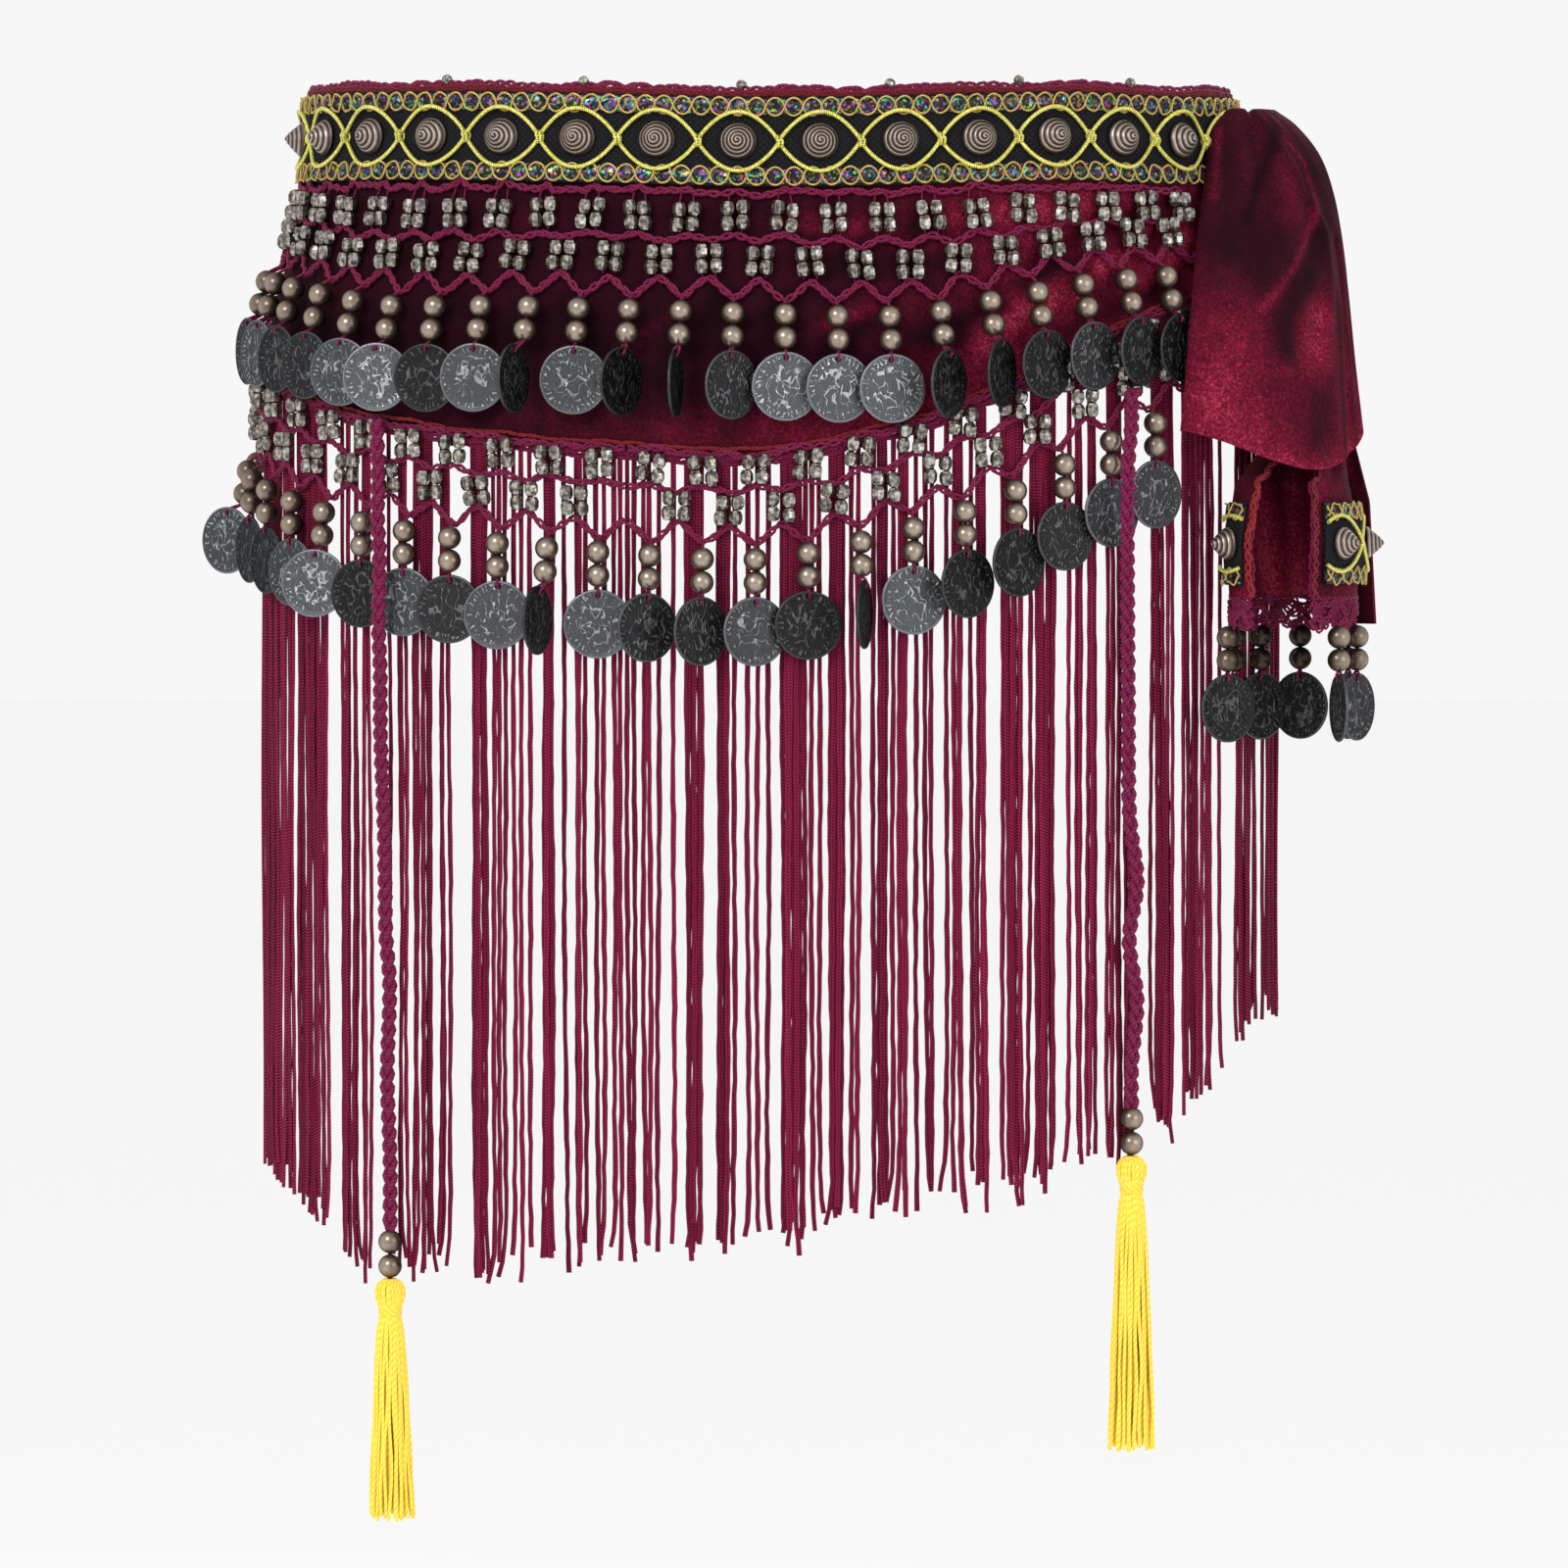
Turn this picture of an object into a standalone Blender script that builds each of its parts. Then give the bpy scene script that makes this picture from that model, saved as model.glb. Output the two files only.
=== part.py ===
"""A belly dance hip scarf, worn and tied at the wearer's left hip, as solids at real size.

Lengths in the tables are millimetres. Arc runs round the hips from the middle of the front,
positive towards +X, and off is the distance out from the body form.
"""
import math
from collections import namedtuple
from functools import partial

import bmesh
import bpy
from mathutils import Vector

MM = 0.001

# Body form, a plain general figure
BAND_HALF_WIDTH = 157.5
HIP_HALF_WIDTH = 174.5
FLARE_TOP = 5.0
FLARE_DROP = 95.0
DEPTH_RATIO = 0.66
ARC_HALF_WIDTH = 168.0
ARC_STEPS = 720

# Velvet, trim and edging
SEAM = 0.3
VELVET_THICK = 2.0
VELVET_COLUMNS = 56
VELVET_SEAM_ARC = 200.0
VELVET_ABOVE_TRIM = 15.4
HEM_TURN = 2.0
FOLD_DEPTH = 1.8
FOLDS = 19
FOLD_SWAY = 1.3
FOLD_SWAY_ARC = 61.0
FOLD_FADES = (0.0, 0.0, 0.5, 0.8, 1.0, 0.35)
TRIM_HALF_HEIGHT = 15.0
TRIM_THICK = 1.2
EDGING_COLUMNS = 44
EDGING_HEIGHT = 3.2
EDGING_THICK = 2.4

# Studs on the trim
STUDS_ROUND = 31
STUD_PHASE = 17.5
STUD_RADIUS = 6.3
STUD_HEIGHT = 6.5
STUD_SIDES = 10

# Crochet lace
LACE_OFF = VELVET_THICK + SEAM
LACE_THICK = 1.8
CHAIN = 1.6
UPPER_REPEATS = 53
UPPER_PHASE = 5.0
FRONT_REPEATS = (-14, 9)
BACK_REPEATS = (14, 38)
CHAIN_A_BELOW_TRIM = 17.3
LOWER_PITCH = 16.6
LOWER_PHASE = -120.7
LEFT_REPEATS = (-7, 4)
RIGHT_REPEATS = (5, 16)
CHAIN_E_DROP = 12.0
CHAIN_F_DROP = 29.0

# Two beads and a coin
NECK = 0.8
BEAD_RADIUS = 4.3
BEAD_OFF = 6.7
BEAD_DROPS = (4.6, 8.5, 12.4)
NECK_DROPS = (0.9, 16.2)
COIN_RADIUS = 11.6
COIN_THICK = 1.2
COIN_SIDES = 8
COIN_CENTRE_DROP = 28.6
UPPER_COIN_OFF = 8.0
LOWER_COIN_OFF = 7.0
UPPER_YAWS = (20, 15, 12, 5, 6, 15, 28, 8, 12, 84, 10, 64, 86, 44, 9, 12, 8, 46, 48, 20, 17, 20, 12)
LOWER_YAWS = (15, 50, 12, 5, 8, 31, 10, 10, 10, 9, 84, 10, 42, 45, 25, 10, 71, 10, 25, 22, 10, 8, 5)
BACK_YAWS = (30, 10, 52, 12, 9, 66, 20, 11, 40)

# Fringe
STRANDS = 90
FRINGE_ARCS = (-232.0, 212.0)
STRIP_HEIGHT = 4.0
STRIP_OFFS = (0.2, 1.8)
STRAND_OFFS = (0.5, 1.5)
STRAND_WIDTH = 2.0
STRAND_BEND = 0.12
CLUMP = 7
CLUMP_PULL = 0.6
STRAND_WANDER = 0.5
STRAND_UNEVEN = 4.0

# Cords, cord beads and tassels
CORD_DIAMETER = 5.0
CORD_POINT_EVERY = 14.0
ROUTE_STEPS = 24
CORD_BEAD_RADIUS = 4.0
TASSEL_LENGTHS = (82.0, 100.0)
TASSEL_LOCKS = 9
TASSEL_CORE = 1.6
LOCK_GAP = 0.16
LOCK_UNEVEN = 1.5

Course = namedtuple("Course", "arc trim chain_b chain_c hem")
COURSES = [
    Course(-330, -1.0, -27.0, -45.0, -66.0),
    Course(-260, -1.0, -27.0, -44.0, -74.0),
    Course(-205, -1.0, -28.0, -44.0, -83.0),
    Course(-160, -1.5, -34.0, -49.5, -93.0),
    Course(-130, -2.0, -36.0, -53.5, -99.0),
    Course(-90, -3.0, -36.0, -54.0, -104.3),
    Course(-45, -4.3, -37.0, -55.5, -108.0),
    Course(0, -5.4, -38.0, -57.0, -109.5),
    Course(45, -4.6, -39.0, -57.5, -99.5),
    Course(75, -3.6, -36.0, -52.0, -88.5),
    Course(110, -2.5, -32.0, -46.0, -71.0),
    Course(150, -3.0, -30.5, -43.0, -58.5),
    Course(200, -2.0, -28.0, -42.0, -56.0),
    Course(260, -1.0, -27.0, -43.0, -60.0),
    Course(330, -1.0, -27.0, -45.0, -63.0),
    Course(443, -1.0, -27.0, -45.0, -65.0),
]

Foot = namedtuple("Foot", "arc height")
FEET = [
    Foot(-235, -350), Foot(-205, -356), Foot(-180, -360), Foot(-162, -370), Foot(-147, -385),
    Foot(-110, -384), Foot(-73, -382), Foot(-27, -376), Foot(5, -371), Foot(30, -363),
    Foot(69, -357), Foot(107, -348), Foot(138, -335), Foot(156, -324), Foot(180, -306),
    Foot(215, -300),
]

RoutePoint = namedtuple("RoutePoint", "arc height off")
CORD_ROUTES = {
    "cord_left": [
        RoutePoint(-131, -98, 7.2), RoutePoint(-130, -114, 7.8), RoutePoint(-129, -130, 9.5),
        RoutePoint(-125.5, -146, 13.6), RoutePoint(-125, -166, 15.0), RoutePoint(-126, -184, 12.5),
        RoutePoint(-129, -205, 8.0), RoutePoint(-129, -238, 6.0), RoutePoint(-128.5, -271, 6.0),
        RoutePoint(-127, -290, 6.0), RoutePoint(-128, -320, 6.0), RoutePoint(-127, -347, 6.0),
        RoutePoint(-127, -372, 6.0),
    ],
    "cord_right": [
        RoutePoint(119.5, -88, 7.2), RoutePoint(118, -94, 8.8), RoutePoint(115, -101, 13.8),
        RoutePoint(113.5, -109, 14.8), RoutePoint(113, -122, 15.0), RoutePoint(114, -138, 13.0),
        RoutePoint(117, -158, 8.0), RoutePoint(118.5, -190, 6.0), RoutePoint(119, -230, 6.0),
        RoutePoint(122, -254, 6.0), RoutePoint(119, -274, 6.0), RoutePoint(122, -294, 6.0),
        RoutePoint(120, -316, 6.0), RoutePoint(120, -330, 6.0),
    ],
}

HeadRow = namedtuple("HeadRow", "drop radius")
TASSEL_HEAD = [HeadRow(0.0, 2.2), HeadRow(3.5, 4.6), HeadRow(10.5, 3.6), HeadRow(13.0, 4.8)]

LockRow = namedtuple("LockRow", "part outside inside")
TASSEL_LOCK = [LockRow(0.3, 5.8, 2.2), LockRow(1.0, 7.2, 3.4)]

FlapRow = namedtuple("FlapRow", "height left_x left_y right_x right_y bulge")
FLAP_THICK = 2.4
FLAP_COLUMNS = 9
FLAP_CREASE = 2.6
FLAP_CREASE_AT = 0.36
FLAP_CREASE_WIDTH = 0.1
FLAP_HEM_DROP = 13.0
FLAP_LOW = -102.0
FLAP = [
    FlapRow(9.0, 155.0, -37.0, 174.0, -20.0, 3.0),
    FlapRow(4.0, 152.5, -40.5, 181.0, -21.0, 6.0),
    FlapRow(-6.0, 150.5, -45.5, 189.0, -23.0, 8.0),
    FlapRow(-18.0, 149.0, -51.0, 193.5, -26.0, 10.0),
    FlapRow(-34.0, 146.5, -61.5, 196.5, -30.0, 12.0),
    FlapRow(-54.0, 144.0, -78.0, 198.5, -37.0, 14.0),
    FlapRow(-78.0, 142.0, -85.0, 200.5, -43.0, 14.0),
    FlapRow(FLAP_LOW, 139.5, -89.0, 203.0, -48.0, 14.0),
]

KnotRow = namedtuple("KnotRow", "height off half_out half_along")
KNOT_ARC = 191.0
KNOT_SPAN = (170.0, 226.0)
KNOT_SIDES = 12
KNOT = [
    KnotRow(3.0, 8.5, 3.5, 6.0), KnotRow(-8.0, 10.8, 6.5, 9.0), KnotRow(-30.0, 13.0, 8.5, 11.0),
    KnotRow(-60.0, 15.0, 10.5, 13.0), KnotRow(-88.0, 16.5, 9.5, 12.0),
    KnotRow(-104.0, 17.0, 4.5, 6.0),
]

TailRow = namedtuple("TailRow", "height arc off half_out half_along")
TAIL_THICK = 2.0
TAIL_COLUMNS = 16
TAIL_OPEN_FROM = 115.0
TAIL_OPEN_TO = 175.0
TAIL = [
    TailRow(-90.0, 191.0, 17.0, 12.8, 15.4), TailRow(-106.0, 187.5, 18.5, 13.5, 19.5),
    TailRow(-120.0, 175.0, 21.0, 16.5, 27.0), TailRow(-140.0, 173.0, 23.0, 18.5, 32.0),
    TailRow(-158.0, 173.0, 23.0, 17.5, 31.0),
]
TAIL_LACE_DROP = 9.0
TAIL_LACE_COLUMNS = 15
TAIL_YAWS = (-60, 25, -8, -60, -60, -20, 45)
TAIL_HANG_OFF = 5.0

TailPatch = namedtuple("TailPatch", "name turn_from turn_to stud_turns")
PATCH_HEIGHTS = (-126.0, -154.0)
PATCH_COLUMNS = 4
PATCH_STUD_RADIUS = 5.7
PATCH_STUD_LIFT = 0.45
PATCH_GAP = 0.4
PATCHES = [
    TailPatch("tail_trim_left", 182.0, 214.0, (198.0,)),
    TailPatch("tail_trim_right", 388.0, 468.0, (400.0, 452.0)),
]

STRIP_BOW = 2.0
STRIP_COLUMNS = 4
StripRow = namedtuple("StripRow", "height near_x near_y far_x far_y")
BACK_STRIP = [
    StripRow(-92.0, 182.0, -18.2, 195.0, -22.2), StripRow(-106.0, 184.0, -22.8, 201.0, -28.1),
    StripRow(-126.0, 187.0, -20.0, 206.0, -28.0), StripRow(-168.0, 188.0, -19.0, 208.0, -30.0),
]

Finish = namedtuple("Finish", "red green blue roughness metallic")
FINISHES = {
    "velvet": Finish(0.16, 0.006, 0.03, 0.85, 0.0),
    "ribbon": Finish(0.01, 0.01, 0.01, 0.7, 0.0),
    "yarn": Finish(0.36, 0.01, 0.12, 0.8, 0.0),
    "chainette": Finish(0.25, 0.012, 0.07, 0.7, 0.0),
    "copper": Finish(0.42, 0.29, 0.24, 0.35, 1.0),
    "silk": Finish(0.9, 0.62, 0.02, 0.6, 0.0),
}


def clear_scene():
    for thing in list(bpy.data.objects):
        bpy.data.objects.remove(thing, do_unlink=True)


def finish(name):
    material = bpy.data.materials.get(name)
    if material:
        return material
    look = FINISHES[name]
    material = bpy.data.materials.new(name)
    material.use_nodes = True
    shader = material.node_tree.nodes["Principled BSDF"]
    shader.inputs["Base Color"].default_value = (look.red, look.green, look.blue, 1.0)
    shader.inputs["Roughness"].default_value = look.roughness
    shader.inputs["Metallic"].default_value = look.metallic
    return material


class Shape:
    """Points and faces of one closed piece, gathered in millimetres."""

    def __init__(self):
        self.points = []
        self.faces = []

    def ring(self, places):
        first = len(self.points)
        self.points.extend(places)
        return list(range(first, len(self.points)))

    def tube(self, ring_a, ring_b):
        for i, corner in enumerate(ring_a):
            j = (i + 1) % len(ring_a)
            self.faces.append((corner, ring_a[j], ring_b[j], ring_b[i]))

    def cap(self, ring):
        self.faces.append(tuple(ring))

    def make(self, name, look, smooth=False):
        mesh = bpy.data.meshes.new(name)
        mesh.from_pydata([p * MM for p in self.points], [], self.faces)
        edit = bmesh.new()
        edit.from_mesh(mesh)
        bmesh.ops.recalc_face_normals(edit, faces=edit.faces)
        bmesh.ops.triangulate(edit, faces=edit.faces)
        edit.to_mesh(mesh)
        edit.free()
        if smooth:
            mesh.shade_smooth()
            mesh.set_sharp_from_angle(angle=math.radians(50))
        mesh.materials.append(finish(look))
        thing = bpy.data.objects.new(name, mesh)
        bpy.context.collection.objects.link(thing)
        return thing


def arc_table():
    """Turn angle of the form against arc length, for one full round."""
    half_depth = ARC_HALF_WIDTH * DEPTH_RATIO
    rows = [(0.0, 0.0)]
    step = math.pi / ARC_STEPS
    for i in range(ARC_STEPS):
        middle = (i + 0.5) * step
        speed = math.hypot(ARC_HALF_WIDTH * math.cos(middle), half_depth * math.sin(middle))
        rows.append((rows[-1][0] + speed * step, (i + 1) * step))
    return rows


ARCS = arc_table()
HALF_ROUND = ARCS[-1][0]
ROUND = 2 * HALF_ROUND


def wrapped(arc):
    return (arc + HALF_ROUND) % ROUND - HALF_ROUND


def turn_at(arc):
    arc = wrapped(arc)
    size = abs(arc)
    low, high = 0, len(ARCS) - 1
    while high - low > 1:
        middle = (low + high) // 2
        if ARCS[middle][0] <= size:
            low = middle
        else:
            high = middle
    span = ARCS[high][0] - ARCS[low][0]
    part = (size - ARCS[low][0]) / span
    turn = ARCS[low][1] + part * (ARCS[high][1] - ARCS[low][1])
    return math.copysign(turn, arc)


def half_width(height):
    fall = min(max((FLARE_TOP - height) / FLARE_DROP, 0.0), 1.0)
    ease = (1 - math.cos(math.pi * fall)) / 2
    return BAND_HALF_WIDTH + (HIP_HALF_WIDTH - BAND_HALF_WIDTH) * ease


def out_at(arc, height):
    turn = turn_at(arc)
    wide = half_width(height)
    deep = wide * DEPTH_RATIO
    return Vector((math.sin(turn) / wide, -math.cos(turn) / deep, 0.0)).normalized()


def along_at(arc, height):
    out = out_at(arc, height)
    return Vector((-out.y, out.x, 0.0))


def on_form(arc, height, off):
    turn = turn_at(arc)
    wide = half_width(height)
    deep = wide * DEPTH_RATIO
    place = Vector((wide * math.sin(turn), -deep * math.cos(turn), height))
    return place + out_at(arc, height) * off


def smooth_between(rows, arc, column, period=None):
    """Value of a table's column at an arc, on a smooth curve through its rows."""
    arcs = [row.arc for row in rows]
    values = [getattr(row, column) for row in rows]
    if period:
        arcs = [arcs[-1] - period] + arcs + [arcs[0] + period]
        values = [values[-1]] + values + [values[0]]
        arc = arcs[1] + (arc - arcs[1]) % period
    arc = min(max(arc, arcs[0]), arcs[-1])
    i = max(k for k in range(len(arcs) - 1) if arcs[k] <= arc)
    slopes = []
    for k in (i, i + 1):
        before, after = max(k - 1, 0), min(k + 1, len(arcs) - 1)
        slopes.append((values[after] - values[before]) / (arcs[after] - arcs[before]))
    span = arcs[i + 1] - arcs[i]
    u = (arc - arcs[i]) / span
    rise = values[i + 1] - values[i]
    ease = u * u * (3 - 2 * u)
    lean = span * u * (1 - u) * (slopes[0] * (1 - u) - slopes[1] * u)
    return values[i] + rise * ease + lean


def course(arc, column):
    return smooth_between(COURSES, arc, column, ROUND)


def wall(shape, outer, inner, solid, hung=None):
    """Closed sheet between two grids of points, with the cells left out where solid says no.

    Returns the four corner points under each cell of the last row that hung names.
    """
    rows, columns = len(outer) - 1, len(outer[0]) - 1
    out = [shape.ring(row) for row in outer]
    back = [shape.ring(row) for row in inner]

    def filled(row, column):
        return 0 <= row < rows and 0 <= column < columns and solid(row, column)

    roots = {}
    for row in range(rows):
        for column in range(columns):
            if not filled(row, column):
                continue
            a, b = (row, column), (row, column + 1)
            c, d = (row + 1, column + 1), (row + 1, column)
            shape.faces.append(tuple(out[i][j] for i, j in (a, b, c, d)))
            shape.faces.append(tuple(back[i][j] for i, j in (d, c, b, a)))
            sides = (((row - 1, column), a, b), ((row, column + 1), b, c),
                     ((row + 1, column), c, d), ((row, column - 1), d, a))
            for neighbour, start, end in sides:
                if filled(*neighbour):
                    continue
                edge = (out[start[0]][start[1]], out[end[0]][end[1]],
                        back[end[0]][end[1]], back[start[0]][start[1]])
                if neighbour[0] == rows and hung and hung(column):
                    roots[column] = edge
                else:
                    shape.faces.append(edge)
    used = sorted({corner for face in shape.faces for corner in face}
                  | {corner for edge in roots.values() for corner in edge})
    order = {old: new for new, old in enumerate(used)}
    shape.points = [shape.points[i] for i in used]
    shape.faces = [tuple(order[i] for i in face) for face in shape.faces]
    return {column: tuple(order[i] for i in edge) for column, edge in roots.items()}


def everywhere(row, column):
    return True


def evenly(first, last, count):
    return [first + (last - first) * i / count for i in range(count + 1)]


def velvet_rows(arc):
    trim = course(arc, "trim")
    chain_c, hem = course(arc, "chain_c"), course(arc, "hem") - HEM_TURN
    return (trim + VELVET_ABOVE_TRIM, trim - TRIM_HALF_HEIGHT, course(arc, "chain_b"), chain_c,
            (chain_c + hem) / 2, hem)


def fold_in(arc, row):
    """Depth of the soft folds, which fade at the trim and at the hem."""
    sway = FOLD_SWAY * math.sin(arc / FOLD_SWAY_ARC)
    wave = 0.5 - 0.5 * math.cos(FOLDS * 2 * math.pi * arc / ROUND + sway)
    return FOLD_DEPTH * FOLD_FADES[row] * wave


def make_velvet_band():
    arcs = evenly(VELVET_SEAM_ARC + SEAM, VELVET_SEAM_ARC - SEAM + ROUND, VELVET_COLUMNS)
    outer, inner = [], []
    for row in range(len(velvet_rows(0))):
        places = [(arc, velvet_rows(arc)[row], fold_in(arc, row)) for arc in arcs]
        outer.append([on_form(arc, height, VELVET_THICK - fold) for arc, height, fold in places])
        inner.append([on_form(arc, height, -fold) for arc, height, fold in places])
    shape = Shape()
    wall(shape, outer, inner, everywhere)
    shape.make("velvet_band", "velvet", smooth=True)


def make_trim_ribbon():
    arcs = evenly(VELVET_SEAM_ARC + SEAM, VELVET_SEAM_ARC - SEAM + ROUND, VELVET_COLUMNS)
    low_off = VELVET_THICK + SEAM
    outer, inner = [], []
    for side in (1, -1):
        heights = [course(arc, "trim") + side * TRIM_HALF_HEIGHT for arc in arcs]
        outer.append([on_form(a, h, low_off + TRIM_THICK) for a, h in zip(arcs, heights)])
        inner.append([on_form(a, h, low_off) for a, h in zip(arcs, heights)])
    shape = Shape()
    wall(shape, outer, inner, everywhere)
    shape.make("trim_ribbon", "ribbon")


def make_top_edging():
    arcs = evenly(VELVET_SEAM_ARC + SEAM, VELVET_SEAM_ARC - SEAM + ROUND, EDGING_COLUMNS)
    outer, inner = [], []
    for rise in (EDGING_HEIGHT, 0.0):
        heights = [course(arc, "trim") + VELVET_ABOVE_TRIM + SEAM + rise for arc in arcs]
        outer.append([on_form(a, h, EDGING_THICK) for a, h in zip(arcs, heights)])
        inner.append([on_form(a, h, 0.0) for a, h in zip(arcs, heights)])
    shape = Shape()
    wall(shape, outer, inner, everywhere)
    shape.make("top_edging", "yarn")


def make_cone(name, base, out, along, radius, height):
    up = out.cross(along)
    shape = Shape()
    turns = [2 * math.pi * i / STUD_SIDES for i in range(STUD_SIDES)]
    rim = shape.ring([base + (along * math.cos(t) + up * math.sin(t)) * radius for t in turns])
    tip = shape.ring([base + out * height])[0]
    shape.cap(rim)
    for i, corner in enumerate(rim):
        shape.faces.append((corner, rim[(i + 1) % len(rim)], tip))
    shape.make(name, "copper")


def under_knot(arc):
    return KNOT_SPAN[0] < wrapped(arc) < KNOT_SPAN[1]


def make_studs():
    pitch = ROUND / STUDS_ROUND
    arcs = [wrapped(STUD_PHASE + pitch * i) for i in range(STUDS_ROUND)]
    surface = VELVET_THICK + SEAM + TRIM_THICK
    for i, arc in enumerate(sorted(a for a in arcs if not under_knot(a))):
        height = course(arc, "trim")
        high = on_form(arc, height + TRIM_HALF_HEIGHT, surface)
        low = on_form(arc, height - TRIM_HALF_HEIGHT, surface)
        along = along_at(arc, height)
        out = along.cross((high - low).normalized())
        make_cone(f"stud_{i:02d}", (high + low) / 2 + out * SEAM, out, along,
                  STUD_RADIUS, STUD_HEIGHT)


def square_ring(centre, along, out, half):
    return [centre + (along * i + out * j) * half for i, j in ((1, 1), (-1, 1), (-1, -1), (1, -1))]


def settled_off(yaw, least):
    """Distance out at which a turned coin clears the cloth behind it."""
    clear = LACE_OFF + LACE_THICK + 2 * SEAM + COIN_THICK / 2
    return max(least, clear + COIN_RADIUS * math.sin(yaw))


def hang_dangler(shape, root, seat, along, out, yaw, coin_off):
    """Neck, two beads and a coin under one lace cell; seat gives the point at a height and off."""
    top = sum((shape.points[i] for i in root), Vector()) / 4
    sizes = [NECK, BEAD_RADIUS, NECK, BEAD_RADIUS, NECK]
    drops = [NECK_DROPS[0], *BEAD_DROPS, NECK_DROPS[1]]
    last = list(root)
    for i, (size, drop) in enumerate(zip(sizes, drops)):
        swing = (drop / COIN_CENTRE_DROP) ** 2
        centre = seat(top.z - drop, BEAD_OFF + (coin_off - BEAD_OFF) * swing)
        if i == 0:
            centre = (centre + Vector((top.x, top.y, centre.z))) / 2
        turn = yaw * i / (len(sizes) - 1)
        turned = along * math.cos(turn) - out * math.sin(turn)
        ahead = out * math.cos(turn) + along * math.sin(turn)
        ring = shape.ring(square_ring(centre, turned, ahead, size / math.sqrt(2)))
        shape.tube(last, ring)
        last = ring
    centre = seat(top.z - COIN_CENTRE_DROP, coin_off)
    side = along * math.cos(yaw) - out * math.sin(yaw)
    face = out * math.cos(yaw) + along * math.sin(yaw)
    turns = [math.pi / 2 - math.pi / COIN_SIDES * (1 + 2 * i) for i in range(COIN_SIDES)]
    rim = [centre + (side * math.cos(t) + Vector((0, 0, math.sin(t)))) * COIN_RADIUS for t in turns]
    front = shape.ring([p + face * COIN_THICK / 2 for p in rim])
    back = shape.ring([p - face * COIN_THICK / 2 for p in rim])
    shape.cap(front)
    shape.cap(back)
    for i in range(COIN_SIDES - 1):
        shape.faces.append((front[i], front[i + 1], back[i + 1], back[i]))
    shape.tube(last, [front[0], front[-1], back[-1], back[0]])


def make_lace(name, columns, heights_at, danglers, coin_off):
    """Staggered posts between three chains; danglers gives the coin's yaw by column."""
    outer, inner = [], []
    for row in range(6):
        places = [(arc, heights_at(arc)[row]) for arc in columns]
        outer.append([on_form(a, h, LACE_OFF + LACE_THICK) for a, h in places])
        inner.append([on_form(a, h, LACE_OFF) for a, h in places])

    def solid(row, column):
        return row in (0, 2, 4) or (row == 1) == (column % 2 == 0)

    shape = Shape()
    roots = wall(shape, outer, inner, solid, hung=lambda column: column in danglers)
    for column, root in roots.items():
        arc = (columns[column] + columns[column + 1]) / 2
        height = heights_at(arc)[-1]
        yaw = math.radians(danglers[column])
        hang_dangler(shape, root, partial(on_form, arc), along_at(arc, height),
                     out_at(arc, height), yaw, settled_off(yaw, coin_off))
    shape.make(name, "yarn")


def chain_rows(top, middle, low):
    return (top + CHAIN, top - CHAIN, middle + CHAIN, middle - CHAIN, low + CHAIN, low - CHAIN)


def upper_heights(arc):
    return chain_rows(course(arc, "trim") - CHAIN_A_BELOW_TRIM, course(arc, "chain_b"),
                      course(arc, "chain_c"))


def lower_heights(arc):
    hem = course(arc, "hem")
    return chain_rows(hem, hem - CHAIN_E_DROP, hem - CHAIN_F_DROP)


def lace_columns(first, last, phase, pitch):
    """Column arcs for the repeats from first to last, two columns to a repeat."""
    start = phase + pitch * first - pitch / 4
    return [start + pitch / 2 * i for i in range(2 * (last - first) + 2)]


def dangler_columns(yaws):
    return {2 * i: yaw for i, yaw in enumerate(yaws)}


def make_laces():
    pitch = ROUND / UPPER_REPEATS
    behind = BACK_REPEATS[1] - BACK_REPEATS[0] + 1
    back_yaws = [BACK_YAWS[i % len(BACK_YAWS)] for i in range(behind)]
    for name, repeats, yaws in (("upper_lace_front", FRONT_REPEATS, UPPER_YAWS),
                                ("upper_lace_back", BACK_REPEATS, back_yaws)):
        make_lace(name, lace_columns(*repeats, UPPER_PHASE, pitch), upper_heights,
                  dangler_columns(yaws), UPPER_COIN_OFF)
    middle = LEFT_REPEATS[1] - LEFT_REPEATS[0] + 1
    for name, repeats, yaws in (("lower_lace_left", LEFT_REPEATS, LOWER_YAWS[:middle]),
                                ("lower_lace_right", RIGHT_REPEATS, LOWER_YAWS[middle:])):
        make_lace(name, lace_columns(*repeats, LOWER_PHASE, LOWER_PITCH), lower_heights,
                  dangler_columns(yaws), LOWER_COIN_OFF)


def strand_arc(arc, index, part):
    """Strands drift towards the middle of their clump on the way down."""
    from_middle = (index % CLUMP) - CLUMP // 2
    wander = STRAND_WANDER * math.sin(index * 2.4 + part * 5.0)
    return arc - CLUMP_PULL * from_middle * min(part * 2, 1.0) + wander * part


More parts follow.
